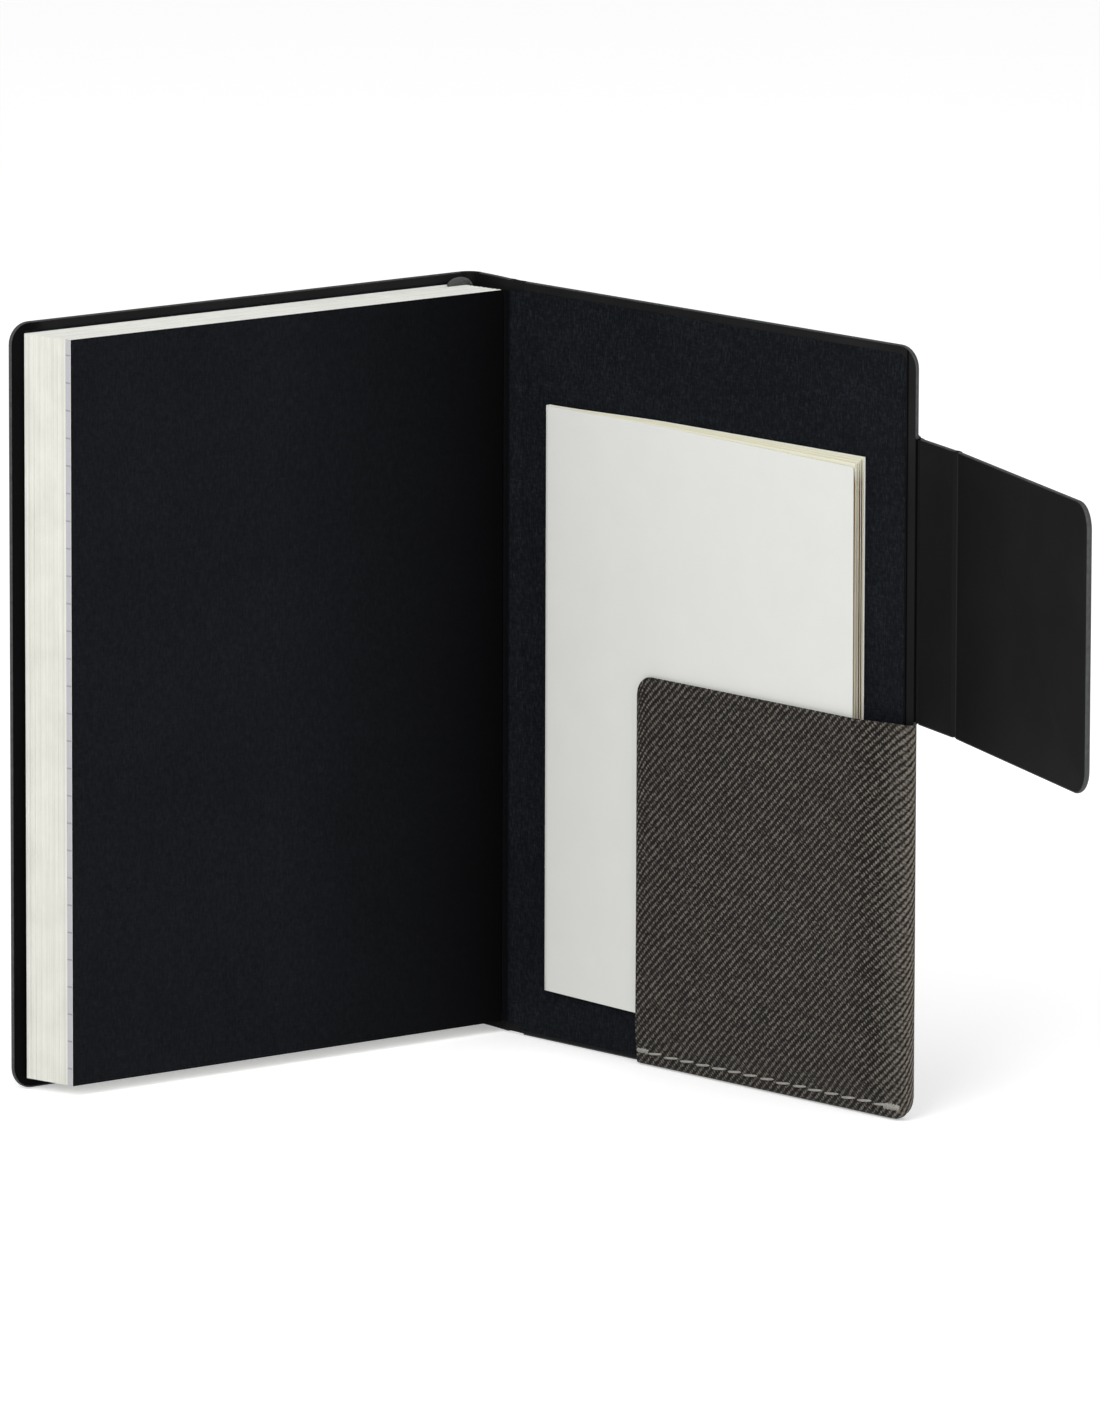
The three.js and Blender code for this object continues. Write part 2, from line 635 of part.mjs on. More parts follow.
// The book turned to its place, with the middle of the spine's foot at the origin
const book = new THREE.Group();
book.add(pageBlock(), spineGroup(), frontCoverGroup(), backCoverGroup());
const footX = SPINE_HOLLOW + COVER_THICKNESS / 2;
const turn = radians(BLOCK_TURN);
book.rotation.z = turn;
book.position.set(
  -(footX * Math.cos(turn) - SPINE_MIDDLE * Math.sin(turn)),
  -(footX * Math.sin(turn) + SPINE_MIDDLE * Math.cos(turn)),
  0,
);

const planner = new THREE.Group();
planner.add(book);

export default planner;
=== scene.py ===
"""A clothbound planner standing open at the back cover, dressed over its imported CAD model."""
import json
import math

import bmesh
import bpy
import numpy as np
from mathutils import Matrix, Vector


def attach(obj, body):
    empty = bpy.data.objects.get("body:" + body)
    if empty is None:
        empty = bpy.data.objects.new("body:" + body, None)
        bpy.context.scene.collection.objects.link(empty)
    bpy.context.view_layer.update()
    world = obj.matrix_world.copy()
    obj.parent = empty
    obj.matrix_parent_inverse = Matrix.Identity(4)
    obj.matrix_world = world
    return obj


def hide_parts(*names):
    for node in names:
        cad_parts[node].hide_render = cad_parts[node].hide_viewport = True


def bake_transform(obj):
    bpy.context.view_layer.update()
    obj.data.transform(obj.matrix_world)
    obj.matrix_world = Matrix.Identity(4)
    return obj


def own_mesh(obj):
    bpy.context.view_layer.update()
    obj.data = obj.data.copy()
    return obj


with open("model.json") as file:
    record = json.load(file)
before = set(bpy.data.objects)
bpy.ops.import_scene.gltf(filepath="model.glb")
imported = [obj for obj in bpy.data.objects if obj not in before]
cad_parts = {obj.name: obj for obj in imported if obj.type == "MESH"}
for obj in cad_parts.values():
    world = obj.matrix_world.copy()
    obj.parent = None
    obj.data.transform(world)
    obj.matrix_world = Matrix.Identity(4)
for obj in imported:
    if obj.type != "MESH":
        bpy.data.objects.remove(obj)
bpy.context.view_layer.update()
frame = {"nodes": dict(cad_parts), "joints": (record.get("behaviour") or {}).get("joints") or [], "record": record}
rng = np.random.default_rng(7)

# Sizes repeated from the part, in millimetres
COVER_HEIGHT = 210.0
CASE = 2.0  # cloth, board and lining together
SET_IN = 0.42  # from the cloth's turned edge to the lining
SHEET = 0.5  # cloth thickness
REACH = 154.7  # back hinge line to flap hinge line
FRONT_REACH = 154.1
CORNER = 6.0
BLOCK = 16.6
LEAN = 3.9
PAGE_WIDTH = 144.5
PAGE_FOOT, PAGE_TOP = 3.0, 207.0
FLY = 0.2
SECTIONS = 10
RIBBON_SLOT = 0.6
REAR_STANDOFF, FRONT_STANDOFF = 3.6, 0.45
SPINE = REAR_STANDOFF + BLOCK + FRONT_STANDOFF
STRIP = SPINE + CASE + 0.3
PANEL = 88.0
FLAP_FOOT, FLAP_HEAD = 108.3, 185.7
FLAP_CORNER = 7.0
POCKET_WIDTH, POCKET_HEIGHT = 105.5, 108.0
BOOK_X, BOOK_WIDTH = 13.8, 122.1
BOOK_FOOT, BOOK_HEIGHT = 14.6, 162.7
TURN, OPEN, STRIP_BEND, PANEL_BEND = 37.3, 96.5, 18.3, 4.0

MID_COVER, MID_FLAP = 105, 147  # heights of the points given for where a piece between two bodies starts and ends
U_BACK = 40.0  # where the back cover's cloth starts in the twill's own lengths
CREASE = 2.2  # rigid cloth starts this far from a flap crease

MM = 0.001
joint = {j["name"]: j for j in frame["joints"]}


# Places


class Place:
    """A case part's own axes: x along it, y out of its cloth side, z up; sizes in millimetres."""

    def __init__(self, at, heading, flip=False):
        self.o = np.array(joint[at]["pos_m"][:2]) / MM
        a = math.radians(heading)
        self.ex = np.array([math.cos(a), math.sin(a)]) * (-1 if flip else 1)
        self.ey = np.array([-math.sin(a), math.cos(a)])

    def __call__(self, x, y, z):
        return Vector((*self.plan(x, y), z)) * MM

    def plan(self, x, y):
        return self.o + x * self.ex + y * self.ey

    def of(self, p):
        """A plan point in this place's own x and y."""
        d = np.array(p) - self.o
        return float(d @ self.ex), float(d @ self.ey)


block = Place("back_leaf_hinge", TURN)
spine = Place("front_cover_hinge", TURN - 90)
front = Place("front_cover_hinge", TURN, flip=True)
back = Place("back_cover_hinge", TURN + OPEN - 180)
strip = Place("flap_strip_hinge", TURN + OPEN - 180 - STRIP_BEND)
panel = Place("flap_panel_hinge", TURN + OPEN - 180 - STRIP_BEND - PANEL_BEND)


# Meshes


def add_object(name, data):
    obj = bpy.data.objects.new(name, data)
    bpy.context.scene.collection.objects.link(obj)
    return obj


def make(name, verts, faces, uvs, smooth=35):
    """A mesh object with its faces turned out, smooth below an angle, and a UV map in millimetres."""
    me = bpy.data.meshes.new(name)
    me.from_pydata([tuple(v) for v in verts], [], faces)
    layer = me.uv_layers.new(name="cloth_uv")
    for loop in me.loops:
        layer.data[loop.index].uv = uvs[loop.vertex_index]
    bm = bmesh.new()
    bm.from_mesh(me)
    bmesh.ops.recalc_face_normals(bm, faces=bm.faces)
    bm.to_mesh(me)
    bm.free()
    me.update()
    me.shade_smooth()
    me.set_sharp_from_angle(angle=math.radians(smooth))
    return add_object(name, me)


def band(a, b, n):
    """The faces between two closed rings of n points, which start at a and b."""
    return [(a + i, a + (i + 1) % n, b + (i + 1) % n, b + i) for i in range(n)]


RIM_FACES = {}  # mesh name: face number to material slot, for the turned edge's painted highlight and its dark colour


def dress(obj, material, body=None, nodes=()):
    obj.data.materials.append(material)
    if obj.name in RIM_FACES:
        # slot 1 is the turned edge's painted highlight, slot 2 its dark colour
        obj.data.materials.append(EDGE)
        obj.data.materials.append(EDGE_DARK)
        for k, index in RIM_FACES[obj.name].items():
            obj.data.polygons[k].material_index = index
    if body:
        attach(obj, body)
    if nodes:
        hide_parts(*nodes)


def between(obj, material, slot, bodies, start, end):
    """Dress a piece that runs from one body to another, and bake its placement into its mesh."""
    dress(obj, material)
    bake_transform(obj)
    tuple(start)
    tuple(end)


def outline(x0, x1, z0, z1, r=0.0, bands=()):
    """A part's outline as (x, z, inset direction) points, counter-clockwise from low x, low z. Its
    low-x side runs on into the next part. So does its high-x side if r is 0; otherwise that side has
    corners of radius r, and runs on only between the heights in bands."""
    pts = [(x0, z0, 0, 1)]

    def corner(z, a0, dz):
        if r == 0:
            pts.append((x1, z, 0, dz))
            return
        for a in np.radians(np.linspace(a0, a0 + 90, 9)):
            c, s = math.cos(a), math.sin(a)
            pts.append((x1 - r + r * c, z + dz * r + r * s, -c, -s))

    corner(z0, 270, 1)
    for a, b in bands:
        pts.extend([(x1, a - 0.7, -1, 0), (x1, a, 0, 0), (x1, b, 0, 0), (x1, b + 0.7, -1, 0)])
    corner(z1, 0, -1)
    return pts + [(x0, z1, 0, -1)]


# How the cloth turns over a board's edge: (inset, height over the inside plane)
WRAP = [(0.46, 0.3), (0.42, 0.1), (0.28, 0.02), (0.12, 0.06), (0.02, 0.26), (0.0, 0.5), (0.04, 0.85)]
WRAP += [(0.16, 1.15), (0.34, 1.4), (0.6, 1.6), (1.0, 1.78), (1.6, 1.93), (2.4, 2.0)]
INNER = [(0.8, 1.5), (0.5, 1.46), (0.5, 0.34)]
INSIDE = CASE - SHEET  # height of the outer cloth's inner face
RIM_LIGHT, RIM_TO = 1.45, 1.8  # the turned edge takes a painted highlight up to one height, and its dark colour up to the next


def rim_slot(y):
    return 1 if y < RIM_LIGHT else 2


def tray(name, place, pts, u0=0.0, usign=1.0):
    """Cloth over a board: a thin tray whose rim turns in, closed."""
    rings = WRAP + INNER
    n = len(pts)
    verts, uvs, faces, rim = [], [], [], {}
    for inset, y in rings:
        for x, z, dx, dz in pts:
            px, pz = x + dx * inset, z + dz * inset
            verts.append(place(px, y, pz))
            over = CASE - y
            uvs.append((u0 + usign * (px - dx * over), pz - dz * over))
    last = len(WRAP) - 1
    for r in range(len(rings)):
        if r == last:
            continue
        s = (r + 1) % len(rings)
        top = max(rings[r][1], rings[s][1])
        if top < RIM_TO:
            rim.update((len(faces) + i, rim_slot(top)) for i in range(n))
        faces += band(r * n, s * n, n)
    RIM_FACES[name] = rim
    faces += [tuple(range(r * n, (r + 1) * n)) for r in (last, last + 1)]
    return make(name, verts, faces, uvs)


def slab(name, place, pts, y0, y1, round_=0.12):
    """A flat sheet with softened edges, between two heights."""
    half = round_ * 0.5
    rings = [(round_, y0), (0.03, y0 + half), (0.0, (y0 + y1) / 2), (0.03, y1 - half), (round_, y1)]
    n = len(pts)
    verts, uvs, faces = [], [], []
    for inset, y in rings:
        for x, z, dx, dz in pts:
            px, pz = x + dx * inset, z + dz * inset
            verts.append(place(px, y, pz))
            uvs.append((px, pz))
    last = len(rings) - 1
    for r in range(last):
        faces += band(r * n, (r + 1) * n, n)
    faces += [tuple(range(r * n, (r + 1) * n)) for r in (0, last)]
    return make(name, verts, faces, uvs)


def lengths(path):
    """How far along a plan path each of its points lies."""
    return np.r_[0, np.cumsum(np.linalg.norm(np.diff(path, axis=0), axis=1))]


def resample(points, step):
    """A plan path with points about step apart."""
    p = np.array(points, float)
    d = lengths(p)
    t = np.linspace(0, d[-1], max(2, int(round(d[-1] / step)) + 1))
    return np.stack([np.interp(t, d, p[:, k]) for k in range(2)], 1)


def sweep(name, p, z0, z1, shares, u0):
    """Outer cloth along a plan path, with its ends turned in over the share of a board's thickness
    that is under each of the path's points. The inside lies to the right of the path."""
    t = np.gradient(p, axis=0)
    t /= np.linalg.norm(t, axis=1)[:, None]
    n = np.stack([t[:, 1], -t[:, 0]], 1)
    s = lengths(p)
    half = WRAP + INNER
    m = 2 * len(half)
    verts, uvs, faces = [], [], []
    for i in range(len(p)):
        q = (0.02 + (INSIDE - 0.02) * shares[i]) / INSIDE
        loop = []
        for k, (inset, y) in enumerate(half):
            if y < INSIDE:
                y = INSIDE + (y - INSIDE) * max(q, 0.02)
                inset = inset if k >= len(WRAP) else 0.13 + (inset - 0.13) * max(q, 0.05)
            loop.append((inset, y))
        ring = [(z1 - a, y) for a, y in loop] + [(z0 + a, y) for a, y in reversed(loop)]
        for z, y in ring:
            at = p[i] + n[i] * (CASE - y)
            verts.append((*at * MM, z * MM))
            uvs.append((u0 + s[i], z + (CASE - y) * (1 if z > (z0 + z1) / 2 else -1)))
    # The half loop runs rim to outer face to inner face, so the outer faces join across the middle.
    w, h = len(WRAP), len(half)
    rim = {}
    for a in range(0, (len(p) - 1) * m, m):
        b, y, z = a + m, a + m - 1, a + 2 * m - 1
        for k in (*range(w - 1), *range(w, h - 1)):
            if k >= w or half[k + 1][1] < RIM_TO:
                rim[len(faces)] = rim[len(faces) + 1] = 2 if k >= w else rim_slot(half[k + 1][1])
            faces.append((a + k, a + k + 1, b + k + 1, b + k))
            faces.append((y - k, z - k, z - 1 - k, y - 1 - k))
        faces.append((a + w - 1, y + 1 - w, z + 1 - w, b + w - 1))  # outer face
        rim.update((len(faces) + k, 2) for k in range(3))
        faces.append((a + w, b + w, z - w, y - w))  # inner face
        faces.append((a + h - 1, a, b, b + h - 1))  # rim of the head's turn-in
        faces.append((a + h, b + h, z, y))
    for a in (0, (len(p) - 1) * m):
        z = a + m - 1
        for k in range(w - 1):
            hi, nx = (h - 1 - int(round(q * (h - w - 1) / (w - 1))) for q in (k, k + 1))
            for f in ((a + k, a + k + 1, a + nx, a + hi), (z - k, z - hi, z - nx, z - 1 - k)):
                faces.append(tuple(dict.fromkeys(f)))
        faces.append((a + w - 1, a + w, z - w, z + 1 - w))
    RIM_FACES[name] = rim
    return make(name, verts, faces, uvs)


def cloth(name, rows, cols, at, thick, uv, smooth=50):
    """A closed thin sheet over a grid. at(i, j) gives the outer face's point in metres; the sheet
    is thick millimetres deep behind it, with a rounded border."""
    outer = np.array([[at(i, j) for j in range(cols)] for i in range(rows)], float)
    du = np.gradient(outer, axis=0)
    dv = np.gradient(outer, axis=1)
    n = np.cross(du, dv)
    n /= np.maximum(np.linalg.norm(n, axis=2), 1e-12)[:, :, None]
    inner = outer - n * thick * MM
    verts = [*outer.reshape(-1, 3), *inner.reshape(-1, 3)]
    uvs = [uv(i, j) for i in range(rows) for j in range(cols)] * 2
    faces = []
    k = rows * cols
    for i in range(rows - 1):
        for j in range(cols - 1):
            a = i * cols + j
            faces.append((a, a + 1, a + cols + 1, a + cols))
            faces.append((k + a, k + a + cols, k + a + cols + 1, k + a + 1))
    rim = [(i, 0) for i in range(rows)] + [(rows - 1, j) for j in range(1, cols)]
    rim += [(i, cols - 1) for i in range(rows - 2, -1, -1)] + [(0, j) for j in range(cols - 2, 0, -1)]
    middle = []
    unit = lambda a: a / max(np.linalg.norm(a), 1e-12)
    for i, j in rim:
        out = unit(du[i, j]) * ((i == rows - 1) - (i == 0))
        out = unit(out + unit(dv[i, j]) * ((j == cols - 1) - (j == 0)))
        middle.append(len(verts))
        verts.append((outer[i, j] + inner[i, j]) / 2 + out * thick * 0.28 * MM)
        uvs.append(uv(i, j))
    for a in range(len(rim)):
        b = (a + 1) % len(rim)
        p, q = rim[a][0] * cols + rim[a][1], rim[b][0] * cols + rim[b][1]
        faces.append((p, q, middle[b], middle[a]))
        faces.append((middle[a], middle[b], k + q, k + p))
    return make(name, verts, faces, uvs, smooth)


def upright(name, path, z0, z1, thick, uv=lambda i, j: (i * 0.3, j * 100.0)):
    """A thin sheet along a plan path, between two heights."""

    def at(i, j):
        return path[i][0] * MM, path[i][1] * MM, (z0 + (z1 - z0) * j / 2) * MM

    return cloth(name, len(path), 3, at, thick, uv)


def smoothstep(t):
    t = min(max(t, 0.0), 1.0)
    return t * t * (3 - 2 * t)


# Materials


def add_node(tree, kind, inputs=(), **settings):
    """A new shader node. inputs are a dict by socket, or values in socket order; an output socket
    as a value is linked."""
    n = tree.nodes.new("ShaderNode" + kind)
    for k, value in settings.items():
        setattr(n, k, value)
    for k, value in inputs.items() if isinstance(inputs, dict) else enumerate(inputs):
        if isinstance(value, bpy.types.NodeSocket):
            tree.links.new(value, n.inputs[k])
        else:
            n.inputs[k].default_value = value
    return n


class Nodes:
    """A material under construction, with short calls for the nodes it needs."""

    def __init__(self, name):
        self.mat = bpy.data.materials.new(name)
        self.mat.use_nodes = True
        self.tree = self.mat.node_tree
        self.tree.nodes.clear()

    def new(self, kind, inputs=(), **settings):
        return add_node(self.tree, kind, inputs, **settings)

    def math(self, op, *values, clamp=False):
        return self.new("Math", values, operation=op, use_clamp=clamp).outputs[0]

    def mul(self, a, b):
        return self.math("MULTIPLY", a, b)

    def add(self, a, b):
        return self.math("ADD", a, b)

    def sub(self, a, b, clamp=False):
        return self.math("SUBTRACT", a, b, clamp=clamp)

    def div(self, a, b, clamp=False):
        return self.math("DIVIDE", a, b, clamp=clamp)

    def mad(self, a, b, c):
        """a times b plus c."""
        return self.math("MULTIPLY_ADD", a, b, c)

    def vector(self, op, vector, by):
        return self.new("VectorMath", (vector, by), operation=op).outputs

    def times(self, vector, by):
        return self.vector("MULTIPLY", vector, by)[0]

    def along(self, vector, x, y, z=0.0):
        return self.vector("DOT_PRODUCT", vector, (x, y, z))["Value"]

    def uv(self):
        pair = self.new("UVMap", uv_map="cloth_uv").outputs[0]
        return self.new("SeparateXYZ", (pair,)).outputs[:2]

    def place(self):
        """Object coordinates in millimetres."""
        return self.times(self.new("TexCoord").outputs["Object"], (1000.0, 1000.0, 1000.0))

    def xyz(self, x, y, z=0.0):
        return self.new("CombineXYZ", (x, y, z)).outputs[0]

    def noise(self, vector, scale=1.0, detail=3.0, rough=0.55):
        sockets = {"Vector": vector, "Scale": scale, "Detail": detail, "Roughness": rough}
        return self.new("TexNoise", sockets).outputs[0]

    def random(self, vector):
        return self.new("TexWhiteNoise", {"Vector": vector}, noise_dimensions="3D").outputs["Value"]

    def voronoi(self, vector, scale=1.0, feature="F1"):
        n = self.new("TexVoronoi", {"Vector": vector, "Scale": scale}, feature=feature)
        return n.outputs["Distance"]

    def ramp(self, value, stops):
        """stops are (position, colour): sRGB from 0 to 255, or one number for a linear grey."""
        n = self.new("ValToRGB", (value,))
        e = n.color_ramp.elements
        while len(e) < len(stops):
            e.new(0.5)
        for k, (at, colour) in enumerate(stops):
            e[k].position = at
            e[k].color = srgb(*colour) if isinstance(colour, tuple) else (colour, colour, colour, 1)
        return n.outputs[0]

    def mix(self, share, a, b, kind="MIX"):
        a, b = (srgb(*v) if isinstance(v, tuple) else v for v in (a, b))
        sockets = {"Factor": share, 6: a, 7: b}
        return self.new("Mix", sockets, data_type="RGBA", blend_type=kind).outputs[2]

    def finish(self, bump=None, **values):
        """The material's surface. bump is (height, strength, distance in metres)."""
        if bump:
            sockets = dict(zip(("Height", "Strength", "Distance"), bump))
            values["Normal"] = self.new("Bump", sockets).outputs[0]
        surface = self.new("BsdfPrincipled", {k.replace("_", " "): v for k, v in values.items()})
        self.new("OutputMaterial", (surface.outputs[0],))
        return self.mat


def srgb(*rgb):
    """A colour given in sRGB from 0 to 255, as a shader takes it."""
    shares = (c / 255 for c in rgb)
    return *(c / 12.92 if c <= 0.04045 else ((c + 0.055) / 1.055) ** 2.4 for c in shares), 1


def twill_material():
    """A coarse two-over, two-under twill: single threads with their own shade and fuzz."""
    m = Nodes("twill_cloth")
    u, v = m.uv()
    wob = m.noise(m.xyz(u, v), scale=0.3, detail=2.0)
    wob = m.mul(m.sub(wob, 0.5), 0.6)
    a, b = m.add(m.div(u, 0.635), wob), m.add(m.div(v, 0.60), wob)  # in threads, by their pitches
    i, j = m.math("FLOOR", a), m.math("FLOOR", b)
    fa, fb = m.math("FRACT", a), m.math("FRACT", b)
    step = lambda x: m.math("WRAP", x, 4.0, 0.0)
    along_warp = step(m.add(m.sub(i, b), 1.0))
    along_weft = step(m.sub(a, j))
    over = m.math("LESS_THAN", along_warp, 2.0)
    round_ = lambda f: m.math("POWER", m.math("SINE", m.mul(f, math.pi)), 0.6)
    arch = lambda t: m.add(m.mul(m.math("SINE", m.mul(t, math.pi)), 0.55), 0.45)
    warp = m.mul(round_(fa), arch(m.mul(along_warp, 0.5)))
    weft = m.mul(round_(fb), arch(m.mul(m.sub(along_weft, 2.0), 0.5)))
    weft = m.mul(weft, 0.72)
    pick = m.new("Mix", {"Factor": over, 2: weft, 3: warp}).outputs[0]
    phase = m.math("FRACT", m.mad(m.sub(a, b), 0.25, 0.375))
    ridge = m.math("POWER", m.math("SINE", m.mul(phase, math.pi)), 1.1)
    bead = m.math("ABSOLUTE", m.math("SINE", m.mul(m.add(a, b), math.pi / 2)))
    # Painted highlight where the cloth rounds into the pocket's side, together with real wear there: the cloth is
    # lighter and its weave less crisp.
    wear_and_highlight = m.div(m.sub(u, 444.0), 16.0, clamp=True)  # the pocket's open side
    crisp = m.mad(wear_and_highlight, -0.85, 1.0)
    twist = m.mad(m.sub(bead, 0.64), m.mul(crisp, 0.62), 0.78)
    rope = m.mul(m.mad(ridge, 0.8, 0.2), twist)
    single = m.mad(m.sub(pick, 0.5), m.mul(crisp, 0.35), 0.175)
    height = m.mad(rope, 0.62, single)
    fibre = m.noise(m.xyz(m.mul(u, 5.5), m.mul(v, 5.5)), scale=1.0, detail=4.0, rough=0.75)
    thread = m.random(m.xyz(m.add(i, m.mul(over, 37.0)), j, 0.0))
    slub = m.noise(m.xyz(m.mul(u, 1.1), m.mul(v, 1.1)), scale=1.0, detail=3.0, rough=0.7)
    level = m.mad(m.sub(thread, 0.5), m.mul(crisp, 0.3), height)
    level = m.mad(m.sub(fibre, 0.5), 1.1, level)
    level = m.mad(m.sub(slub, 0.5), 0.75, level)
    level = m.mad(wear_and_highlight, 0.26, level)
    shades = [(0.08, (2, 1, 1)), (0.31, (7, 6, 5)), (0.56, (31, 28, 25)), (0.9, (114, 108, 99))]
    colour = m.ramp(level, shades)
    bump = m.mad(fibre, 0.35, height), 0.85, 0.00024
    sheen = {"Sheen_Weight": 0.12, "Sheen_Roughness": 0.5}
    return m.finish(bump, Base_Color=colour, Roughness=0.92, Specular_IOR_Level=0.12, **sheen)


def lining_material(name, shades=(), length=1.0):
    """Matt black imitation leather with a fine pebble, with painted light making it a little lighter
    toward the head. shades are stops of painted shade along its length, in shares of it, with how
    light the lining is there."""
    m = Nodes(name)
    p = m.place()
    cells = m.voronoi(p, 2.6, "DISTANCE_TO_EDGE")
    fine = m.noise(p, 3.5, 4.0, 0.65)
    broad = m.noise(p, 0.045, 3.0)
    tone = m.mad(fine, 0.4, m.mul(broad, 0.6))
    # Painted light: the lining is lighter toward the head, as if lit from above.
    high = m.div(m.sub(m.along(p, 0, 0, 1), 120.0), 85.0, clamp=True)
    tone = m.mad(high, 0.25, tone)
    colour = m.ramp(tone, [(0.3, (9, 9, 10)), (0.7, (18, 18, 18)), (0.95, (27, 27, 27))])
    shine = 0.1
    if shades:
        shade = m.ramp(m.div(m.uv()[0], length), shades)
        colour = m.mix(1.0, colour, shade, "MULTIPLY")
        # The painted shade dims the reflection too.
        shine = m.mul(shade, 0.1)
    bump = m.mad(fine, 0.6, m.math("MINIMUM", cells, 0.25)), 0.45, 0.00006
    rough = m.mad(fine, 0.2, 0.5)
    return m.finish(bump, Base_Color=colour, Roughness=rough, Specular_IOR_Level=shine)


def creased_lining_material(name, stops):
    """The lining where it is pressed into a fold: painted shade in the groove, a painted highlight on the ridge
    beside it.
    """
    m = Nodes(name)
    fine = m.noise(m.place(), 3.5, 4.0, 0.65)
    # Painted shade in the groove and a painted highlight on the ridge, by place across the crease.
    wear_and_shade = m.mad(m.sub(fine, 0.5), 0.04, m.uv()[0])
    colour = m.ramp(wear_and_shade, [(at, (c, c, c)) for at, c in stops])
    return m.finish((fine, 0.3, 0.00005), Base_Color=colour, Roughness=0.6, Specular_IOR_Level=0.03)


def edge_material(name, low, high):
    """The case's turned edge: smooth dark binding, rubbed a little lighter along its length."""
    m = Nodes(name)
    p = m.place()
    wear_and_shade = m.noise(p, 0.7, 4.0, 0.6)
    fine = m.noise(p, 5.0, 3.0, 0.6)
    colour = m.ramp(m.mad(fine, 0.3, m.mul(wear_and_shade, 0.7)), [(0.3, low), (0.7, high)])
    return m.finish((fine, 0.3, 0.00005), Base_Color=colour, Roughness=0.55, Specular_IOR_Level=0.2)


def endpaper_material(name, gutter_shade=None, root=False):
    """Near-black laid paper with upright mottled streaks; fade paints shade that darkens it toward a
    gutter, and root paints shadow over the first millimetres of the fold."""
    m = Nodes(name)
    p = m.place()
    streak = m.noise(m.times(p, (2.2, 2.2, 0.55)), 1.0, 4.0, 0.65)
    laid = m.noise(m.times(p, (0.6, 0.6, 2.0)), 1.0, 3.0, 0.5)
    broad = m.noise(p, 0.03, 2.0)
    tone = m.mad(streak, 0.62, m.mad(laid, 0.28, m.mul(broad, 0.1)))
    dark, mid, light = (8, 10, 12), (17, 19, 23), (32, 37, 42)
    if gutter_shade:
        dark, mid, light = (11, 12, 15), (17, 19, 22), (25, 28, 32)
    colour = m.ramp(tone, [(0.36, dark), (0.5, mid), (0.66, light)])
    # Painted shade: darker toward the gutter.
    if gutter_shade:
        at = m.sub(m.along(p, *gutter_shade.ex), float(gutter_shade.o @ gutter_shade.ex))
        share = m.div(m.add(at, 75.0), 75.0, clamp=True)
        colour = m.mix(m.mul(share, 0.95), colour, (2, 2, 3))
    # Painted shadow in the gutter: the first millimetres of the fold are darker.
    if root:
        share = m.sub(2.6, m.uv()[0], clamp=True)
        colour = m.mix(m.mul(share, 0.9), colour, (3, 3, 4))
    bump = m.mad(laid, 0.5, streak), 0.3, 0.00005
    return m.finish(bump, Base_Color=colour, Roughness=0.85, Specular_IOR_Level=0.06)


def paper_material(name, light, dark, change, marked=None, head=None):
    """Uncoated paper whose shade changes from leaf to leaf. marked gives the axes of a
    block with faint streaks, a painted shadow line in the gap near its last leaves, a head painted
    lighter where its faces look up, and leaves that are lilac at the fore-edge, with index ticks,
    where u is over 2000. head gives a height and the colour that the paper turns to just below it."""
    m = Nodes(name)
    p = m.place()
    u, v = m.uv()
    leaf = m.random(m.xyz(m.math("FLOOR", u), 3.0, 1.0))
    cloud = m.noise(p, 0.09, 3.0)
    fibre = m.noise(p, 4.0, 4.0, 0.7)
    tone = m.mad(leaf, change, m.mad(cloud, 0.45, m.mul(fibre, 0.3)))
    if marked:
        deep = m.along(p, *marked.ey)
        streak = m.noise(m.xyz(deep, m.mul(v, 0.01)), 1.1, 3.0, 0.7)
        tone = m.mad(m.sub(streak, 0.5), 0.4, tone)
        # Painted shadow: a dark line in the gap between sections near the last leaves.
        from_gap = m.math("ABSOLUTE", m.sub(deep, float(marked.o @ marked.ey) + 2.8))
        gap = m.sub(1.0, m.mul(from_gap, 2.2), clamp=True)
        tone = m.mad(gap, -0.3, tone)
    colour = m.ramp(tone, [(0.2, dark), (0.75, light)])
    if marked:
        # Painted highlight: the faces that look up, at the head, are lighter.
        rise = m.along(m.new("NewGeometry").outputs["True Normal"], 0, 0, 1)
        colour = m.mix(m.mul(m.math("MAXIMUM", rise, 0.0), 0.4), colour, (247, 249, 249))
    if head:
        share = m.div(m.sub(m.along(p, 0, 0, 1), head[0] - 6.0), 4.0, clamp=True)
        colour = m.mix(share, colour, head[1])
    if marked:
        fore_edge = float(marked.o @ marked.ex) - PAGE_WIDTH
        outer = m.math("LESS_THAN", m.along(p, *marked.ex), fore_edge)
        tick = m.math("LESS_THAN", m.math("FRACT", m.div(v, 7.5)), 0.06)
        lilac = m.mul(m.math("GREATER_THAN", u, 2000.0), outer)
        colour = m.mix(lilac, colour, (189, 189, 193))
        colour = m.mix(m.mul(m.mul(tick, lilac), 0.5), colour, (120, 116, 128))
    return m.finish((fibre, 0.15, 0.00004), Base_Color=colour, Roughness=0.8, Specular_IOR_Level=0.2)


def satin_material():
    m = Nodes("satin_ribbon")
    u, v = m.uv()
    line = m.math("SINE", m.mul(m.add(u, m.mul(v, 0.8)), 16.0))
    fibre = m.noise(m.xyz(m.mul(u, 6.0), m.mul(v, 0.8)), 1.0, 3.0)
    edge = m.math("GREATER_THAN", m.math("ABSOLUTE", u), 2.9)
    tone = m.mad(line, 0.12, fibre)
    colour = m.ramp(tone, [(0.3, (42, 44, 42)), (0.7, (72, 74, 70))])
    colour = m.mix(m.mul(edge, 0.5), colour, (40, 42, 40))
    bump = m.mad(line, 0.4, fibre), 0.4, 0.00005
    rough = m.mad(fibre, 0.2, 0.38)
    return m.finish(bump, Base_Color=colour, Roughness=rough, Sheen_Weight=0.1, Specular_IOR_Level=0.3)


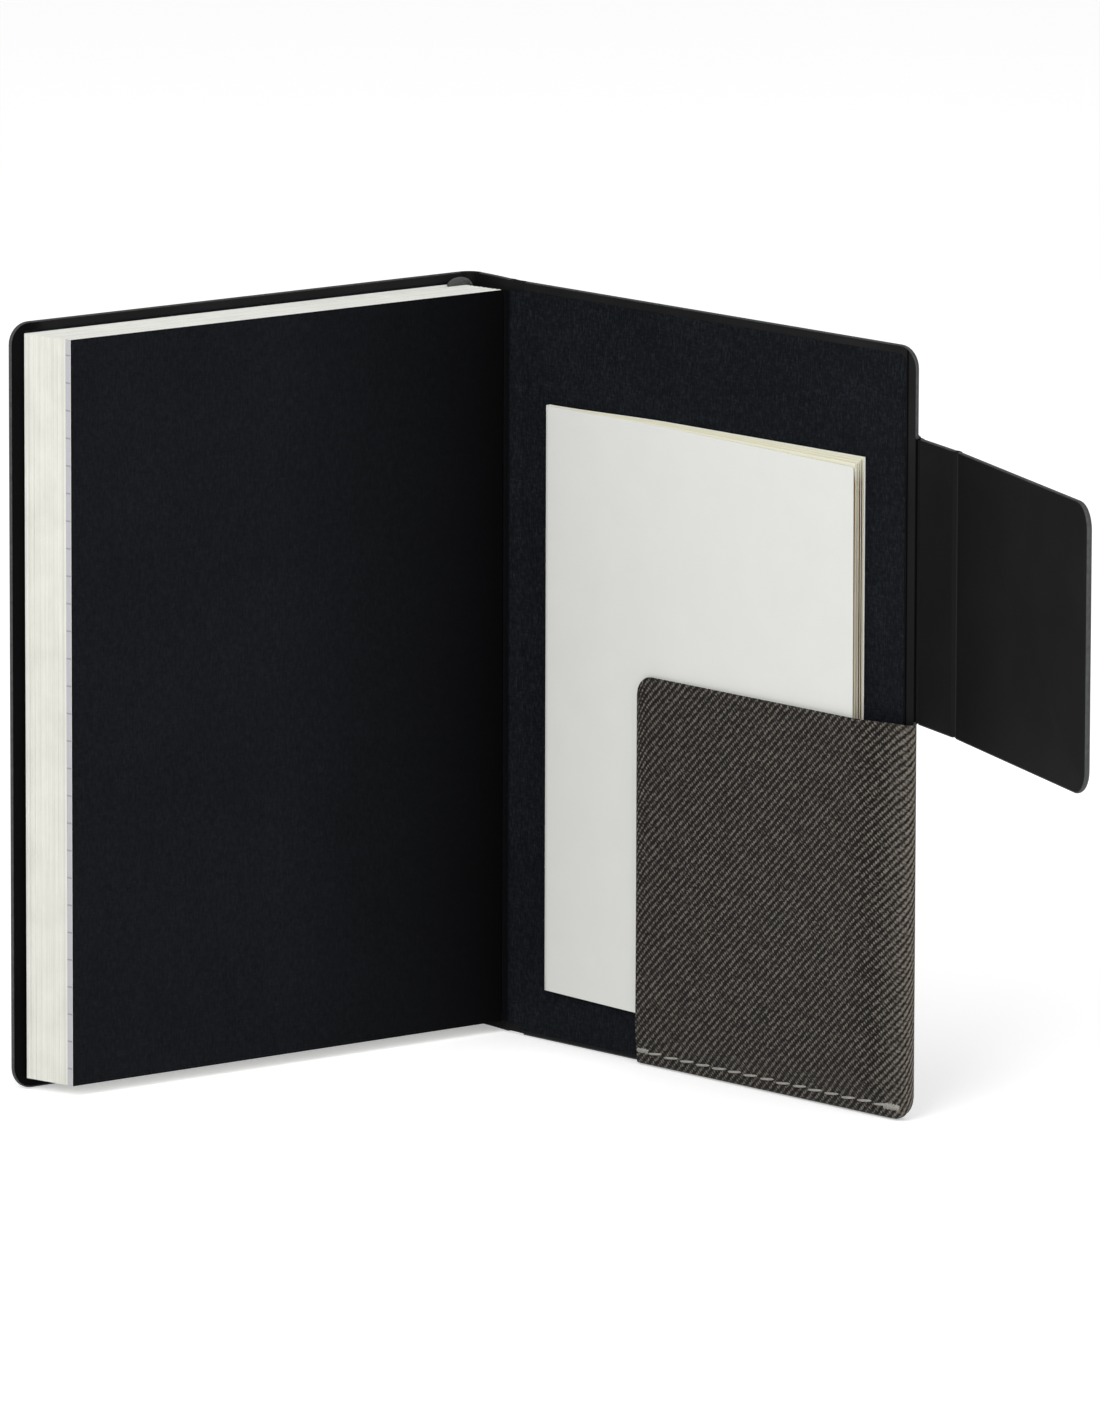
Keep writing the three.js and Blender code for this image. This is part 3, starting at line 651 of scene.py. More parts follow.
def thread_material():
    m = Nodes("sewing_thread")
    u, v = m.uv()
    ply = m.math("SINE", m.mul(m.add(u, m.mul(v, 2.0)), 14.0))
    fibre = m.noise(m.place(), 3.0, 3.0)
    tone = m.mad(ply, 0.22, fibre)
    colour = m.ramp(tone, [(0.2, (118, 115, 109)), (0.75, (184, 182, 175))])
    return m.finish((ply, 0.5, 0.0001), Base_Color=colour, Roughness=0.7, Specular_IOR_Level=0.2)


def grain_material(name, stretch, noise, shades, bump, roughness, shine=0.0, **values):
    """One noise through colour, relief and gloss. shades are its dark and light colour, shine is how
    much the noise adds to the roughness."""
    m = Nodes(name)
    grain = m.noise(m.times(m.place(), stretch), *noise)
    colour = m.ramp(grain, [(0.3, shades[0]), (0.7, shades[1])])
    rough = m.mad(grain, shine, roughness) if shine else roughness
    return m.finish((grain, *bump), Base_Color=colour, Roughness=rough, **values)


def gauze_material():
    m = Nodes("gauze")
    p = m.place()
    weave = m.voronoi(m.times(p, (1.4, 1.4, 1.4)), 1.0)
    fibre = m.noise(p, 2.5, 3.0)
    colour = m.ramp(m.mad(weave, 0.5, fibre), [(0.3, (176, 168, 148)), (0.9, (222, 214, 196))])
    return m.finish((weave, 0.6, 0.0002), Base_Color=colour, Roughness=0.95)


TWILL = twill_material()
LINING = lining_material("black_lining")
# Painted shadow: a thin dark line on the back lining along the pastedown's edge.
painted_edge_shadow = [(0, 1.0), (0.9765, 1.0), (0.9775, 0.05), (0.9812, 0.05), (0.983, 1.0)]
BACK_LINING = lining_material("back_lining", painted_edge_shadow, REACH - SET_IN)
# Painted shadow: the front lining is darker in its margin beside the page block.
painted_margin_shadow = [(0, 1.0), (0.93, 1.0), (0.95, 0.4), (1, 0.3)]
FRONT_LINING = lining_material("front_lining", painted_margin_shadow, FRONT_REACH - SET_IN)
# Painted shade: the flap panel's lining is darker toward its crease.
painted_crease_shade = [(0, 0.7), (0.1, 0.72), (0.4, 0.95), (1, 1.02)]
PANEL_LINING = lining_material("panel_lining", painted_crease_shade, PANEL - SET_IN)
# Painted shade in each crease's groove and painted highlight on the ridges beside it.
CREASED_ROOT = creased_lining_material(
    "creased_root", [(0, 23), (0.42, 10), (0.56, 8), (0.64, 24), (0.8, 24), (1, 23)]
)
CREASED_FOLD = creased_lining_material(
    "creased_fold", [(0, 23), (0.6, 27), (0.66, 2), (0.76, 2), (0.8, 44), (0.92, 36), (1, 18)]
)
# The lighter copy is a painted highlight where light catches the turned edge; the darker copy is the edge's own
# colour.
EDGE = edge_material("case_edge", (50, 51, 51), (74, 75, 75))
EDGE_DARK = edge_material("case_edge_dark", (20, 20, 20), (33, 33, 33))
ENDPAPER = endpaper_material("black_endpaper")
# The fly leaf has painted shade toward the gutter; the fold has painted shadow at its root.
FLYLEAF = endpaper_material("black_fly_leaf", gutter_shade=block)
FOLDED = endpaper_material("black_endpaper_fold", root=True)
IVORY = paper_material("ivory_paper", (234, 234, 227), (207, 206, 198), 0.25, marked=block)
CREAM = paper_material("cream_paper", (229, 227, 212), (213, 210, 191), 0.4)
# Painted shadow for the gaps between the booklet's leaves: their large faces are brown, turning cream just below
# the head, where the gaps are shallow.
SHADED = paper_material(
    "cream_paper_painted_gap_shadow", (148, 122, 82), (110, 88, 54), 0.4,
    head=(BOOK_FOOT + BOOK_HEIGHT, (226, 223, 202)),
)
CARD = paper_material("booklet_card", (224, 225, 220), (218, 219, 214), 0.0)
SATIN = satin_material()
THREAD = thread_material()
BOARD = grain_material(
    "greyboard", (1, 1, 1), (1.8, 5.0, 0.7), ((96, 91, 84), (138, 132, 122)), (0.4, 0.0001), 0.95
)
GAUZE = gauze_material()


def metal(name, dark, light, roughness):
    drawn = (6.0, 6.0, 0.8), (1.0, 4.0, 0.7)
    return grain_material(name, *drawn, (dark, light), (0.12, 0.00003), roughness, 0.2, Metallic=1.0)


STEEL = metal("steel_wire", (150, 150, 150), (200, 200, 198), 0.25)
MAGNET = metal("magnet", (130, 130, 134), (176, 176, 178), 0.3)

CARRIED = {
    "greyboard": BOARD,
    "black_lining": LINING,
    "black_endpaper": ENDPAPER,
    "gauze": GAUZE,
    "steel_wire": STEEL,
    "magnet": MAGNET,
}
for part in frame["record"]["subparts"]:
    if part["material_slot"] in CARRIED:
        node = frame["nodes"][part["node"]]
        for s in node.material_slots:
            s.material = FLYLEAF if part["node"] == "back_fly_leaf" else CARRIED[part["material_slot"]]

# The case

EASE = 8.0  # rigid cloth starts this far from a hinge line
END = REACH - 0.3
BOARD_AT = 3.0  # a board and its lining start this far from a hinge line


def shell(name, place, pts, body, node, u0=0.0, usign=1.0):
    o = tray(name, place, pts, u0, usign)
    dress(o, TWILL, body, [node])


shell(
    "front_cover_shell", front, outline(EASE, FRONT_REACH, 0, COVER_HEIGHT, CORNER),
    "front_cover", "front_cover_cloth", usign=-1.0,
)
shell(
    "back_cover_shell", back, outline(EASE, END, 0, COVER_HEIGHT, CORNER, [(FLAP_FOOT, FLAP_HEAD)]),
    "back_cover", "back_cover_cloth", U_BACK,
)
shell(
    "flap_strip_shell", strip, outline(CREASE, STRIP - CREASE, FLAP_FOOT, FLAP_HEAD),
    "flap_strip", "flap_strip_cloth", U_BACK + REACH,
)
shell(
    "flap_panel_shell", panel, outline(CREASE, PANEL, FLAP_FOOT, FLAP_HEAD, FLAP_CORNER),
    "flap_panel", "flap_panel_cloth", U_BACK + REACH + STRIP,
)


def bezier(a, b, c, d, n=24):
    t = np.linspace(0, 1, n)[:, None]
    a, b, c, d = (np.array(q, float) for q in (a, b, c, d))
    return (1 - t) ** 3 * a + 3 * (1 - t) ** 2 * t * b + 3 * (1 - t) * t**2 * c + t**3 * d


def joint_path(points, step=0.35):
    return resample(np.vstack(points), step)


# The cloth's outer line in the block's own axes: front cover, rounded shoulder, spine, back cover
f0 = front.plan(EASE, CASE)
f1 = front.plan(5.2, CASE)
shoulder = spine.plan(4.6, CASE + 0.12)
lower = spine.plan(SPINE - 3.4, CASE)
b0 = back.plan(EASE, CASE)
front_joint = joint_path([
    [f0], bezier(f1, front.plan(1.0, CASE + 0.05), spine.plan(-0.6, CASE + 0.1), shoulder),
])
spine_line = joint_path([
    bezier(shoulder, spine.plan(8.5, CASE + 0.35), spine.plan(SPINE - 7.5, CASE + 0.3), lower),
])
dip = back.plan(0.2, CASE - 0.28)
back_joint = joint_path([
    bezier(lower, spine.plan(SPINE - 1.6, CASE - 0.02), spine.plan(SPINE - 0.9, CASE - 0.26), dip),
    bezier(dip, back.plan(1.4, CASE - 0.3), back.plan(2.4, CASE - 0.02), back.plan(4.2, CASE), 16),
    [b0],
])


def joint_shares(path, a, a_to, b, b_to):
    """How much of the board's thickness is under the points of a joint's path. On one side of it
    place a has board up to a_to, on the other b from b_to, each as (place's x, 1 if the board lies
    above that x or -1 if below)."""
    sides = ((a, *a_to), (b, *b_to))
    return [max(smoothstep((q.of(p)[0] - x) * way / 0.9 + 0.5) for q, x, way in sides) for p in path]


u_front = -EASE
u_spine = u_front + lengths(front_joint)[-1]
u_back = u_spine + lengths(spine_line)[-1]
shares_front = joint_shares(front_joint, front, (BOARD_AT, 1), spine, (BOARD_AT, 1))
shares_back = joint_shares(back_joint, spine, (SPINE - BOARD_AT, -1), back, (BOARD_AT, 1))

o = sweep("front_joint_cloth", front_joint, 0, COVER_HEIGHT, shares_front, u_front)
ends = front(5.0, CASE, MID_COVER), spine(4.4, CASE, MID_COVER)
between(o, TWILL, "twill_cloth", ("front_cover", "book_body"), *ends)
o = sweep("spine_shell", spine_line, 0, COVER_HEIGHT, [1.0] * len(spine_line), u_spine)
dress(o, TWILL, "book_body", ["spine_cloth"])
o = sweep("back_joint_cloth", back_joint, 0, COVER_HEIGHT, shares_back, u_back)
ends = spine(SPINE - 3.6, CASE, MID_COVER), back(4.0, CASE, MID_COVER)
between(o, TWILL, "twill_cloth", ("book_body", "back_cover"), *ends)


def crease_cloth(name, a, b, bodies, u0, x_a):
    """The cloth round a crease from part a to part b."""
    pts = [a.plan(x_a, CASE)]
    for t in np.linspace(0, 1, 9):
        n = (1 - t) * a.ey + t * b.ey
        pts.append(b.o + CASE * n / np.linalg.norm(n))
    path = resample(pts + [b.plan(CREASE, CASE)], 0.25)
    shares = [smoothstep((abs(i - len(path) / 2) * 0.25 - 0.9) / 0.6) for i in range(len(path))]
    o = sweep(name, path, FLAP_FOOT, FLAP_HEAD, shares, u0)
    between(o, TWILL, "twill_cloth", bodies, a(x_a + 0.2, CASE, MID_FLAP), b(2.0, CASE, MID_FLAP))


crease_cloth("flap_root_cloth", back, strip, ("back_cover", "flap_strip"), U_BACK + END, END)
crease_cloth(
    "flap_crease_cloth", strip, panel, ("flap_strip", "flap_panel"),
    U_BACK + REACH + STRIP - CREASE, STRIP - CREASE,
)

# Inside linings


def inside(place, x0, x1, z0, z1, r, material, body):
    pts = outline(x0, x1 - SET_IN if r else x1, z0 + SET_IN, z1 - SET_IN, r - SET_IN if r else 0.0)
    o = slab(f"{body}_inside", place, pts, 0.0, 0.3)
    dress(o, material, body, [f"{body}_lining"])


inside(back, BOARD_AT, REACH, 0, COVER_HEIGHT, CORNER, BACK_LINING, "back_cover")
inside(front, BOARD_AT, FRONT_REACH, 0, COVER_HEIGHT, CORNER, FRONT_LINING, "front_cover")
inside(strip, CREASE, STRIP - CREASE, FLAP_FOOT, FLAP_HEAD, 0.0, LINING, "flap_strip")
inside(panel, CREASE, PANEL, FLAP_FOOT, FLAP_HEAD, FLAP_CORNER, PANEL_LINING, "flap_panel")


def crease_lining(name, material, a, x_a, b, x_b, bodies):
    """Lining pressed into a crease: a shallow groove with a low ridge on each side."""
    half = 8
    line = []
    for i in range(-half, half + 1):
        s = i / half
        groove = 0.4 * math.exp(-((s / 0.3) ** 2)) - 0.14 * math.exp(-(((abs(s) - 0.7) / 0.25) ** 2))
        x = x_a[1] + s * (x_a[1] - x_a[0]) if s < 0 else s * x_b
        line.append((a if s < 0 else b).plan(x, groove))
    uv = lambda i, j: (i / (2 * half), j * 30.0)
    o = upright(name, line, FLAP_FOOT + SET_IN, FLAP_HEAD - SET_IN, 0.28, uv)
    between(o, material, "black_lining", bodies, a(x_a[0], 0, MID_FLAP), b(x_b, 0, MID_FLAP))


crease_lining(
    "flap_root_lining", CREASED_ROOT, back, (REACH - SET_IN, REACH), strip, CREASE,
    ("back_cover", "flap_strip"),
)
crease_lining(
    "flap_crease_lining", CREASED_FOLD, strip, (STRIP - CREASE, STRIP), panel, CREASE,
    ("flap_strip", "flap_panel"),
)

PASTE_FOOT, PASTE_HEAD, PASTE_FORE = 1.2, 2.4, 4.0  # margins of lining round the endpaper
pts = outline(2.2, REACH - PASTE_FORE, PASTE_FOOT, COVER_HEIGHT - PASTE_HEAD, 2.5)
o = slab("back_pastedown_sheet", back, pts, -0.22, -0.02, 0.05)
dress(o, ENDPAPER, "back_cover", ["back_pastedown"])


def joint_lining(name, line):
    """The lining where it runs over a joint or the spine, between the boards."""
    return upright(name, resample(line, 0.3), SET_IN, COVER_HEIGHT - SET_IN, 0.2)


line = bezier(
    spine.plan(SPINE - 3.2, 0.06), spine.plan(SPINE - 1.2, 0.1),
    back.plan(0.6, 0.25), back.plan(3.3, 0.02),
)
between(
    joint_lining("back_joint_lining", line), LINING, "black_lining", ("book_body", "back_cover"),
    spine(SPINE - 3.2, 0.1, MID_COVER), back(3.3, 0.1, MID_COVER),
)
line = bezier(front.plan(3.3, 0.02), front.plan(0.8, 0.3), spine.plan(0.8, 0.3), spine.plan(3.2, 0.06))
between(
    joint_lining("front_joint_lining", line), LINING, "black_lining", ("front_cover", "book_body"),
    front(3.3, 0.1, MID_COVER), spine(3.2, 0.1, MID_COVER),
)
o = joint_lining("spine_inside", [spine.plan(x, 0.05) for x in (3.1, SPINE / 2, SPINE - 3.1)])
dress(o, LINING, "book_body", ["spine_lining"])

# Endpapers across the gutters


def gutter(name, line, material, bodies, start, end):
    o = upright(name, resample(line, 0.3), PAGE_FOOT + 0.1, PAGE_TOP - 0.1, 0.18)
    between(o, material, "black_endpaper", bodies, start, end)


line = bezier(block.plan(0.3, 0.1), block.plan(1.0, -0.12), back.plan(-0.4, -0.9), back.plan(2.3, -0.25))
gutter(
    "back_endpaper_fold", line, FOLDED, ("book_body", "back_cover"),
    block(0.2, 0, MID_COVER), back(2.3, -0.25, MID_COVER),
)
last = -LEAN  # the block's last leaf starts here
line = bezier(
    block.plan(last + 0.35, BLOCK - 0.1), block.plan(last + 1.1, BLOCK + 0.08),
    front.plan(0.2, -0.5), front.plan(3.0, -0.08),
)
gutter(
    "front_endpaper_fold", line, ENDPAPER, ("book_body", "front_cover"),
    block(last + 0.3, BLOCK, MID_COVER), front(3.0, -0.1, MID_COVER),
)

# The page block

PLY = 0.05  # the gap between sections
PITCH = (BLOCK - RIBBON_SLOT - 2 * (FLY + PLY)) / SECTIONS
LEAVES = 8  # folded sheets in a section, so twice as many leaves


def lean_at(y):
    return LEAN * y / BLOCK


def leaf_shade(y):
    """A random shade number for a leaf; the numbers above 2000 mark the lilac leaves near the back."""
    return float(rng.integers(0, 1000)) + 0.5 + (2000 if 0.3 < y < 1.95 else 0)


def section_mesh(name, y0, y1, close_low=0.0, close_high=0.0):
    """One sewn section: folded sheets lying in each other, each with its own slight offset. The
    close sizes are how far its outer leaves spread at the fore-edge to shut a gap beside it."""
    verts, uvs, faces = [], [], []
    thick = (y1 - y0) / (2 * LEAVES)
    middle = (y0 + y1) / 2
    slip = rng.normal(0, 0.02)
    for k in range(LEAVES):
        out = (LEAVES - k) * thick  # half width of this sheet's fold
        fore = rng.normal(0, 0.018, 2) + slip
        dz = rng.normal(0, 0.02)
        card = thick * 0.97
        tip = -lean_at(middle) - (LEAVES * thick - out) * 0.55 - 0.35

        def bend(a0, a1, d):
            turns = np.radians(np.linspace(a0, a1, 7))
            return [(tip - d + 0.35 * math.cos(a), middle + (out - d) * math.sin(a)) for a in turns]

        y_hi, y_lo = middle + out, middle - out
        share = out / (LEAVES * thick)
        f_hi, f_lo = y_hi + close_high * share, y_lo - close_low * share
        in_hi, in_lo = f_hi - card - close_high / LEAVES, f_lo + card + close_low / LEAVES
        x_hi, x_lo = -PAGE_WIDTH - lean_at(y_hi) + fore[0], -PAGE_WIDTH - lean_at(y_lo) + fore[1]
        ring = bend(-90, 90, 0.0) + [(x_hi, f_hi), (x_hi, in_hi)]
        ring += bend(90, -90, card) + [(x_lo, in_lo), (x_lo, f_lo)]
        base = len(verts)
        n = len(ring)
        shades = (leaf_shade(y_lo), leaf_shade(y_hi))
        for z in (PAGE_FOOT + dz, PAGE_TOP + dz):
            for x, y in ring:
                verts.append(block(x, y, z))
                uvs.append((shades[y > middle], z))
        faces += band(base, base + n, n)
        # The head and tail of a folded sheet are two long strips and a bend.
        for z0 in (base, base + n):
            for q in range(6):
                faces.append((z0 + q, z0 + q + 1, z0 + 14 - q, z0 + 15 - q))
            faces.append((z0 + 6, z0 + 7, z0 + 8, z0 + 9))
            faces.append((z0, z0 + 15, z0 + 16, z0 + 17))
    return make(name, verts, faces, uvs, smooth=30)


REAR_TO, FRONT_FROM = 3, 8  # the rear pages end before one section, the front pages start at the other
SHUT = 0.29  # how far leaves spread at the fore-edge on each side of the ribbon's slot
for i in range(SECTIONS):
    y0 = FLY + PLY + i * PITCH + (RIBBON_SLOT if i >= FRONT_FROM else 0)
    number = SECTIONS - i
    body = "rear_pages" if i < REAR_TO else "front_pages" if i >= FRONT_FROM else "book_body"
    spread = SHUT * (i == FRONT_FROM), SHUT * (i == FRONT_FROM - 1)
    o = section_mesh(f"leaves_{number:02d}", y0, y0 + PITCH - PLY, *spread)
    dress(o, IVORY, body, [f"page_section_{number:02d}"])

# The marker ribbon

RIBBON_Y = FLY + PLY + FRONT_FROM * PITCH + (RIBBON_SLOT - PLY) / 2
RIBBON_W = 6.6


def ribbon_at(i, j):
    """The ribbon over the head: j runs across it, i from the leaves to the spine."""
    u, v = j / 8 - 1, i / 36
    share = (v - 0.1) / 0.8
    turn = smoothstep(share)
    angle = turn * math.pi / 2
    x = -5.9 + 3.5 * turn + u * RIBBON_W / 2 * math.cos(angle)
    y = RIBBON_Y + 1.5 * turn - u * RIBBON_W / 2 * math.sin(angle) * 0.9
    arch = math.sin(math.pi * min(max(share, 0.0), 1.0)) ** 0.75
    z = PAGE_TOP + 1.9 * arch * math.sqrt(max(0.0, 1 - 0.97 * u * u))
    z -= 22.0 * max(0.0, 0.1 - v) + 70.0 * max(0.0, v - 0.9)
    return tuple(block(x, y, z))


o = cloth("ribbon_over_head", 37, 17, ribbon_at, 0.24, lambda i, j: ((j / 8 - 1) * RIBBON_W / 2, i * 0.3))
dress(o, SATIN, "book_body", ["ribbon_loop"])


def tail_at(i, j):
    z = 17.0 + (202.6 - 17.0) * i / 24
    cut = 2.2 * abs(j / 4 - 1) if i == 0 else 0.0
    wave = 0.05 * math.sin(z * 0.12)
    return tuple(block(-6.6 + (j / 8 - 0.5) * RIBBON_W, RIBBON_Y + 0.12 + wave, z + cut))


o = cloth("ribbon_run", 25, 9, tail_at, 0.24, lambda i, j: ((j / 8 - 0.5) * RIBBON_W, i * 7.8))
dress(o, SATIN, "ribbon", ["ribbon_tail"])

# The booklet

ANCHOR = back(80, -0.3, MID_COVER)
PAPER = 0.26  # drawn thickness of the booklet's paper and card


def fan(x, z):
    """How far the booklet's front stands off its back at a place on it, in millimetres."""
    t = max(0.0, min(1.0, (x - BOOK_X) / BOOK_WIDTH))
    up = 0.6 + 0.3 * smoothstep((z - 10) / 100) + 0.1 * smoothstep((z - 100) / 75)
    return 1.5 + 2.4 * t**0.9 * up


def bow(s, t):
    """How far the booklet's head rises above its cut height, a share s out from its fold."""
    return 0.85 * smoothstep(s / 0.4) * t


def booklet_leaf(name, level, inset, short, nodes):
    """One half leaf of the booklet. level is 0 at the back cover and 1 at the front one."""
    rows, cols = 29, 15
    drop = 1.9 * level
    x0 = BOOK_X + inset
    x1 = BOOK_X + BOOK_WIDTH - short
    phase = 1.3 + level * 4.0  # each leaf waves a little differently

    def at(i, j):
        s = (i / (rows - 1)) ** 1.25
        t = j / (cols - 1)
        x = x0 + (x1 - x0) * s
        z = BOOK_FOOT + BOOK_HEIGHT * t + bow(s, t) - drop * s
        off = 0.55 + level * fan(x, z) + 0.12 * math.sin(z * 0.035 + phase) * s * level
        near = math.exp(-(x - x0) / 1.3)
        off = off * (1 - near) + (0.55 + 1.0 * level + 0.35 * (0.5 - level)) * near
        return tuple(back(x, -off, z))

    o = cloth(name, rows, cols, at, -PAPER, lambda i, j: (7.5 + round(level * 40), j * 10.0))
    dress(o, CREAM, "booklet", nodes)
    # The large faces take the painted gap shadow; the border stays cream.
    o.data.materials.append(SHADED)
    for face in o.data.polygons[: 2 * (rows - 1) * (cols - 1)]:
        face.material_index = 1
    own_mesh(o)


FOLD_SHARE = 0.12  # share of the card's rows, each way, that lie in its fold
FOLD_R = 0.5


def card_at(i, j):
    """Back board, rounded fold and front board of the booklet, in one sheet of card."""
    s = (i - 30) / 30
    t = j / (CARD_COLS - 1)
    z = BOOK_FOOT + BOOK_HEIGHT * t
    if abs(s) <= FOLD_SHARE:
        half = (fan(BOOK_X, z) + 0.28) / 2
        g = s / FOLD_SHARE * math.pi / 2
        return tuple(back(BOOK_X + FOLD_R * (1 - math.cos(g)), -0.35 - half * (1 + math.sin(g)), z))
    front_side = 1 if s > 0 else 0
    q = ((abs(s) - FOLD_SHARE) / (1 - FOLD_SHARE)) ** 1.15
    x = BOOK_X + FOLD_R + (BOOK_WIDTH - FOLD_R - 0.5 * front_side) * q
    z += bow(q, t) - 2.4 * q * front_side
    off = 0.35 + (fan(x, z) + 0.28 + 0.1 * math.sin(z * 0.03 + 0.5) * q) * front_side
    return tuple(back(x, -off, z))


CARD_COLS = 25
o = cloth("booklet_card", 61, CARD_COLS, card_at, PAPER, lambda i, j: (0.5, j * 10.0), smooth=60)
dress(o, CARD, "booklet", ["booklet_cover"])
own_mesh(o)
LEAF_LEVELS = [0.03, 0.1, 0.24, 0.31, 0.48, 0.55, 0.74, 0.81]
for k, level in enumerate(LEAF_LEVELS):
    sheet = min(k, 7 - k) + 1
    nodes = [f"booklet_sheet_{sheet}"] if k < 4 else ()
    booklet_leaf(f"booklet_leaf_{k + 1}", level, 0.4 + 0.12 * sheet, 0.2 + 0.12 * (k % 3), nodes)

# The pocket

SIDE = REACH + 1.35
TURN_W, TURN_R = 5.0, 2.3  # how the cloth rounds into its side: width and depth
POCKET_X0 = SIDE - POCKET_WIDTH
FOOT = 3.0  # how far the sewn foot stands off the cover
FOOT_TURN = [(0.03, 0.4), (0.3, 0.12), (0.65, 0.08), (0.88, 0.25), (0.97, 0.6)]  # share of that, rise
FOOT_RISE = 1.1


def pocket_off(x, z):
    """How far the pocket's outer face stands off the inside plane of the cover."""
    t = min(max((x - 12.8) / 123.4, 0.0), 1.0)
    up = 0.5 + 0.26 * smoothstep((z - 10) / 100) + 0.24 * smoothstep((z - 100) / 75)
    beyond = smoothstep((x - 137.2) / 17)
    full = (3.1 + 3.6 * t**0.9 * up) * (1 - beyond) + 3.0 * beyond
    return FOOT + (full - FOOT) * smoothstep((z - 1.5) / 8.5)


POCKET_CORNER, LOW_CORNER = 5.5, 6.0
flat_x = [POCKET_X0 + d for d in (0, 0.3, 0.8, 1.6, 2.6, 3.8, 5.2)]
flat_x += [x for x in np.linspace(POCKET_X0, SIDE - TURN_W, 39) if x > POCKET_X0 + 5.8]
turn_n, wall_n = 10, 5
P_ROWS = len(flat_x) + turn_n + wall_n
P_COLS = 49 + len(FOOT_TURN)


def rounded(r, d):
    """How far a corner of radius r falls back at a distance d from its side."""
    return r - math.sqrt(max(0.0, r**2 - (r - d) ** 2)) if d < r else 0.0


def pocket_at(i, j):
    k = i - len(flat_x)
    x = flat_x[i] if k < 0 else SIDE - TURN_W
    g = min(max((k + 1) / turn_n, 0.0), 1.0) * math.pi / 2
    w = max((k - turn_n + 1) / wall_n, 0.0)
    d0, d1 = x - POCKET_X0, SIDE - x
    d1 = d1 if k < 0 else TURN_W * (1 - math.sin(g))
    top = POCKET_HEIGHT - rounded(POCKET_CORNER, d0)
    low = rounded(LOW_CORNER, d1)
    turns = len(FOOT_TURN)
    share, rise = FOOT_TURN[j] if j < turns else (1.0, FOOT_RISE)
    z = low + rise + (top - low - rise) * max(j - turns, 0) / (P_COLS - 1 - turns)
    off = pocket_off(x, max(z, low + FOOT_RISE))
    if k >= 0:
        r = min(TURN_R, off * 0.8)
        x += TURN_W * math.sin(g)
        off += r * math.cos(g) - r
        off -= (off + 0.2) * w
        x -= (SIDE - REACH - 0.6) * w**2 + (1 - share) * math.sin(g) * (1.3 - 0.5 * w)
    else:
        x += (1.15 + 0.55 * z / POCKET_HEIGHT) * (1 - d0 / (SIDE - POCKET_X0))
    return tuple(back(x, -off * share, z))


def pocket_uv(i, j):
    u = flat_x[i] if i < len(flat_x) else SIDE - TURN_W + (i - len(flat_x) + 1) * 0.55
    up = j - len(FOOT_TURN)
    pitch = (POCKET_HEIGHT - FOOT_RISE) / (P_COLS - 1 - len(FOOT_TURN)) if up >= 0 else 0.55
    return 300.0 + u, FOOT_RISE + up * pitch


pocket = cloth("pocket_cloth", P_ROWS, P_COLS, pocket_at, 0.5, pocket_uv, smooth=60)
dress(pocket, TWILL, "back_cover", ["pocket"])
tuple(back(80, 0, 50))
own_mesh(pocket)

# The sewn foot: long stitches with a bar-tack at each end
verts, uvs, faces = [], [], []


def stitch(p0, p1, r, lift):
    """One stitch of thread, as a thin closed tube that dives in at both ends."""
    base = len(verts)
    steps, sides = 8, 6
    dx, dz = p1[0] - p0[0], p1[1] - p0[1]
    length = math.hypot(dx, dz)
    for a in range(steps + 1):
        t = a / steps
        x, z = p0[0] + dx * t, p0[1] + dz * t
        h = lift * math.sin(math.pi * t) ** 0.6 - 0.12 * abs(2 * t - 1) ** 4
        rr = r * (0.45 + 0.55 * math.sin(math.pi * t) ** 0.5)
        for b in range(sides):
            g = 2 * math.pi * b / sides
            sx, sz = -dz / length * math.cos(g) * rr, dx / length * math.cos(g) * rr
            inside = min(max((x - SIDE + TURN_W) / TURN_W, 0.0), 0.9)
            y = pocket_off(x, z) - TURN_R * (1 - math.sqrt(1 - inside**2)) + h + rr * math.sin(g)
            verts.append(back(x + sx, -y, z + sz))
            uvs.append((length * t, b * 0.3))
    rows = range(base, len(verts), sides)
    for p, q in zip(rows, rows[1:]):
        faces.extend(band(p, q, sides))
    faces.extend(tuple(range(p, p + sides)) for p in (rows[0], rows[-1]))


for k in range(9):
    x = POCKET_X0 + 1.6 + k * 0.47
    stitch((x, 3.2 + rng.normal(0, 0.06)), (x + 0.5, 4.6 + rng.normal(0, 0.08)), 0.26, 0.2)
for k in range(15):
    x = POCKET_X0 + 5.6 + k * 6.24
    dz = rng.normal(0, 0.08)
    stitch((x + rng.normal(0, 0.1), 3.3 + dz), (x + 5.5 + rng.normal(0, 0.12), 3.95 + dz), 0.36, 0.3)
for k in range(12):
    x = REACH - 7.3 + k * 0.46
    stitch((x, 2.6 + rng.normal(0, 0.08)), (x + 0.5, 4.4 + rng.normal(0, 0.1)), 0.27, 0.22)
o = make("pocket_stitches", verts, faces, uvs, 60)
dress(o, THREAD, "back_cover")
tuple(back(80, 0, 50))
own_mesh(o)

# Studio


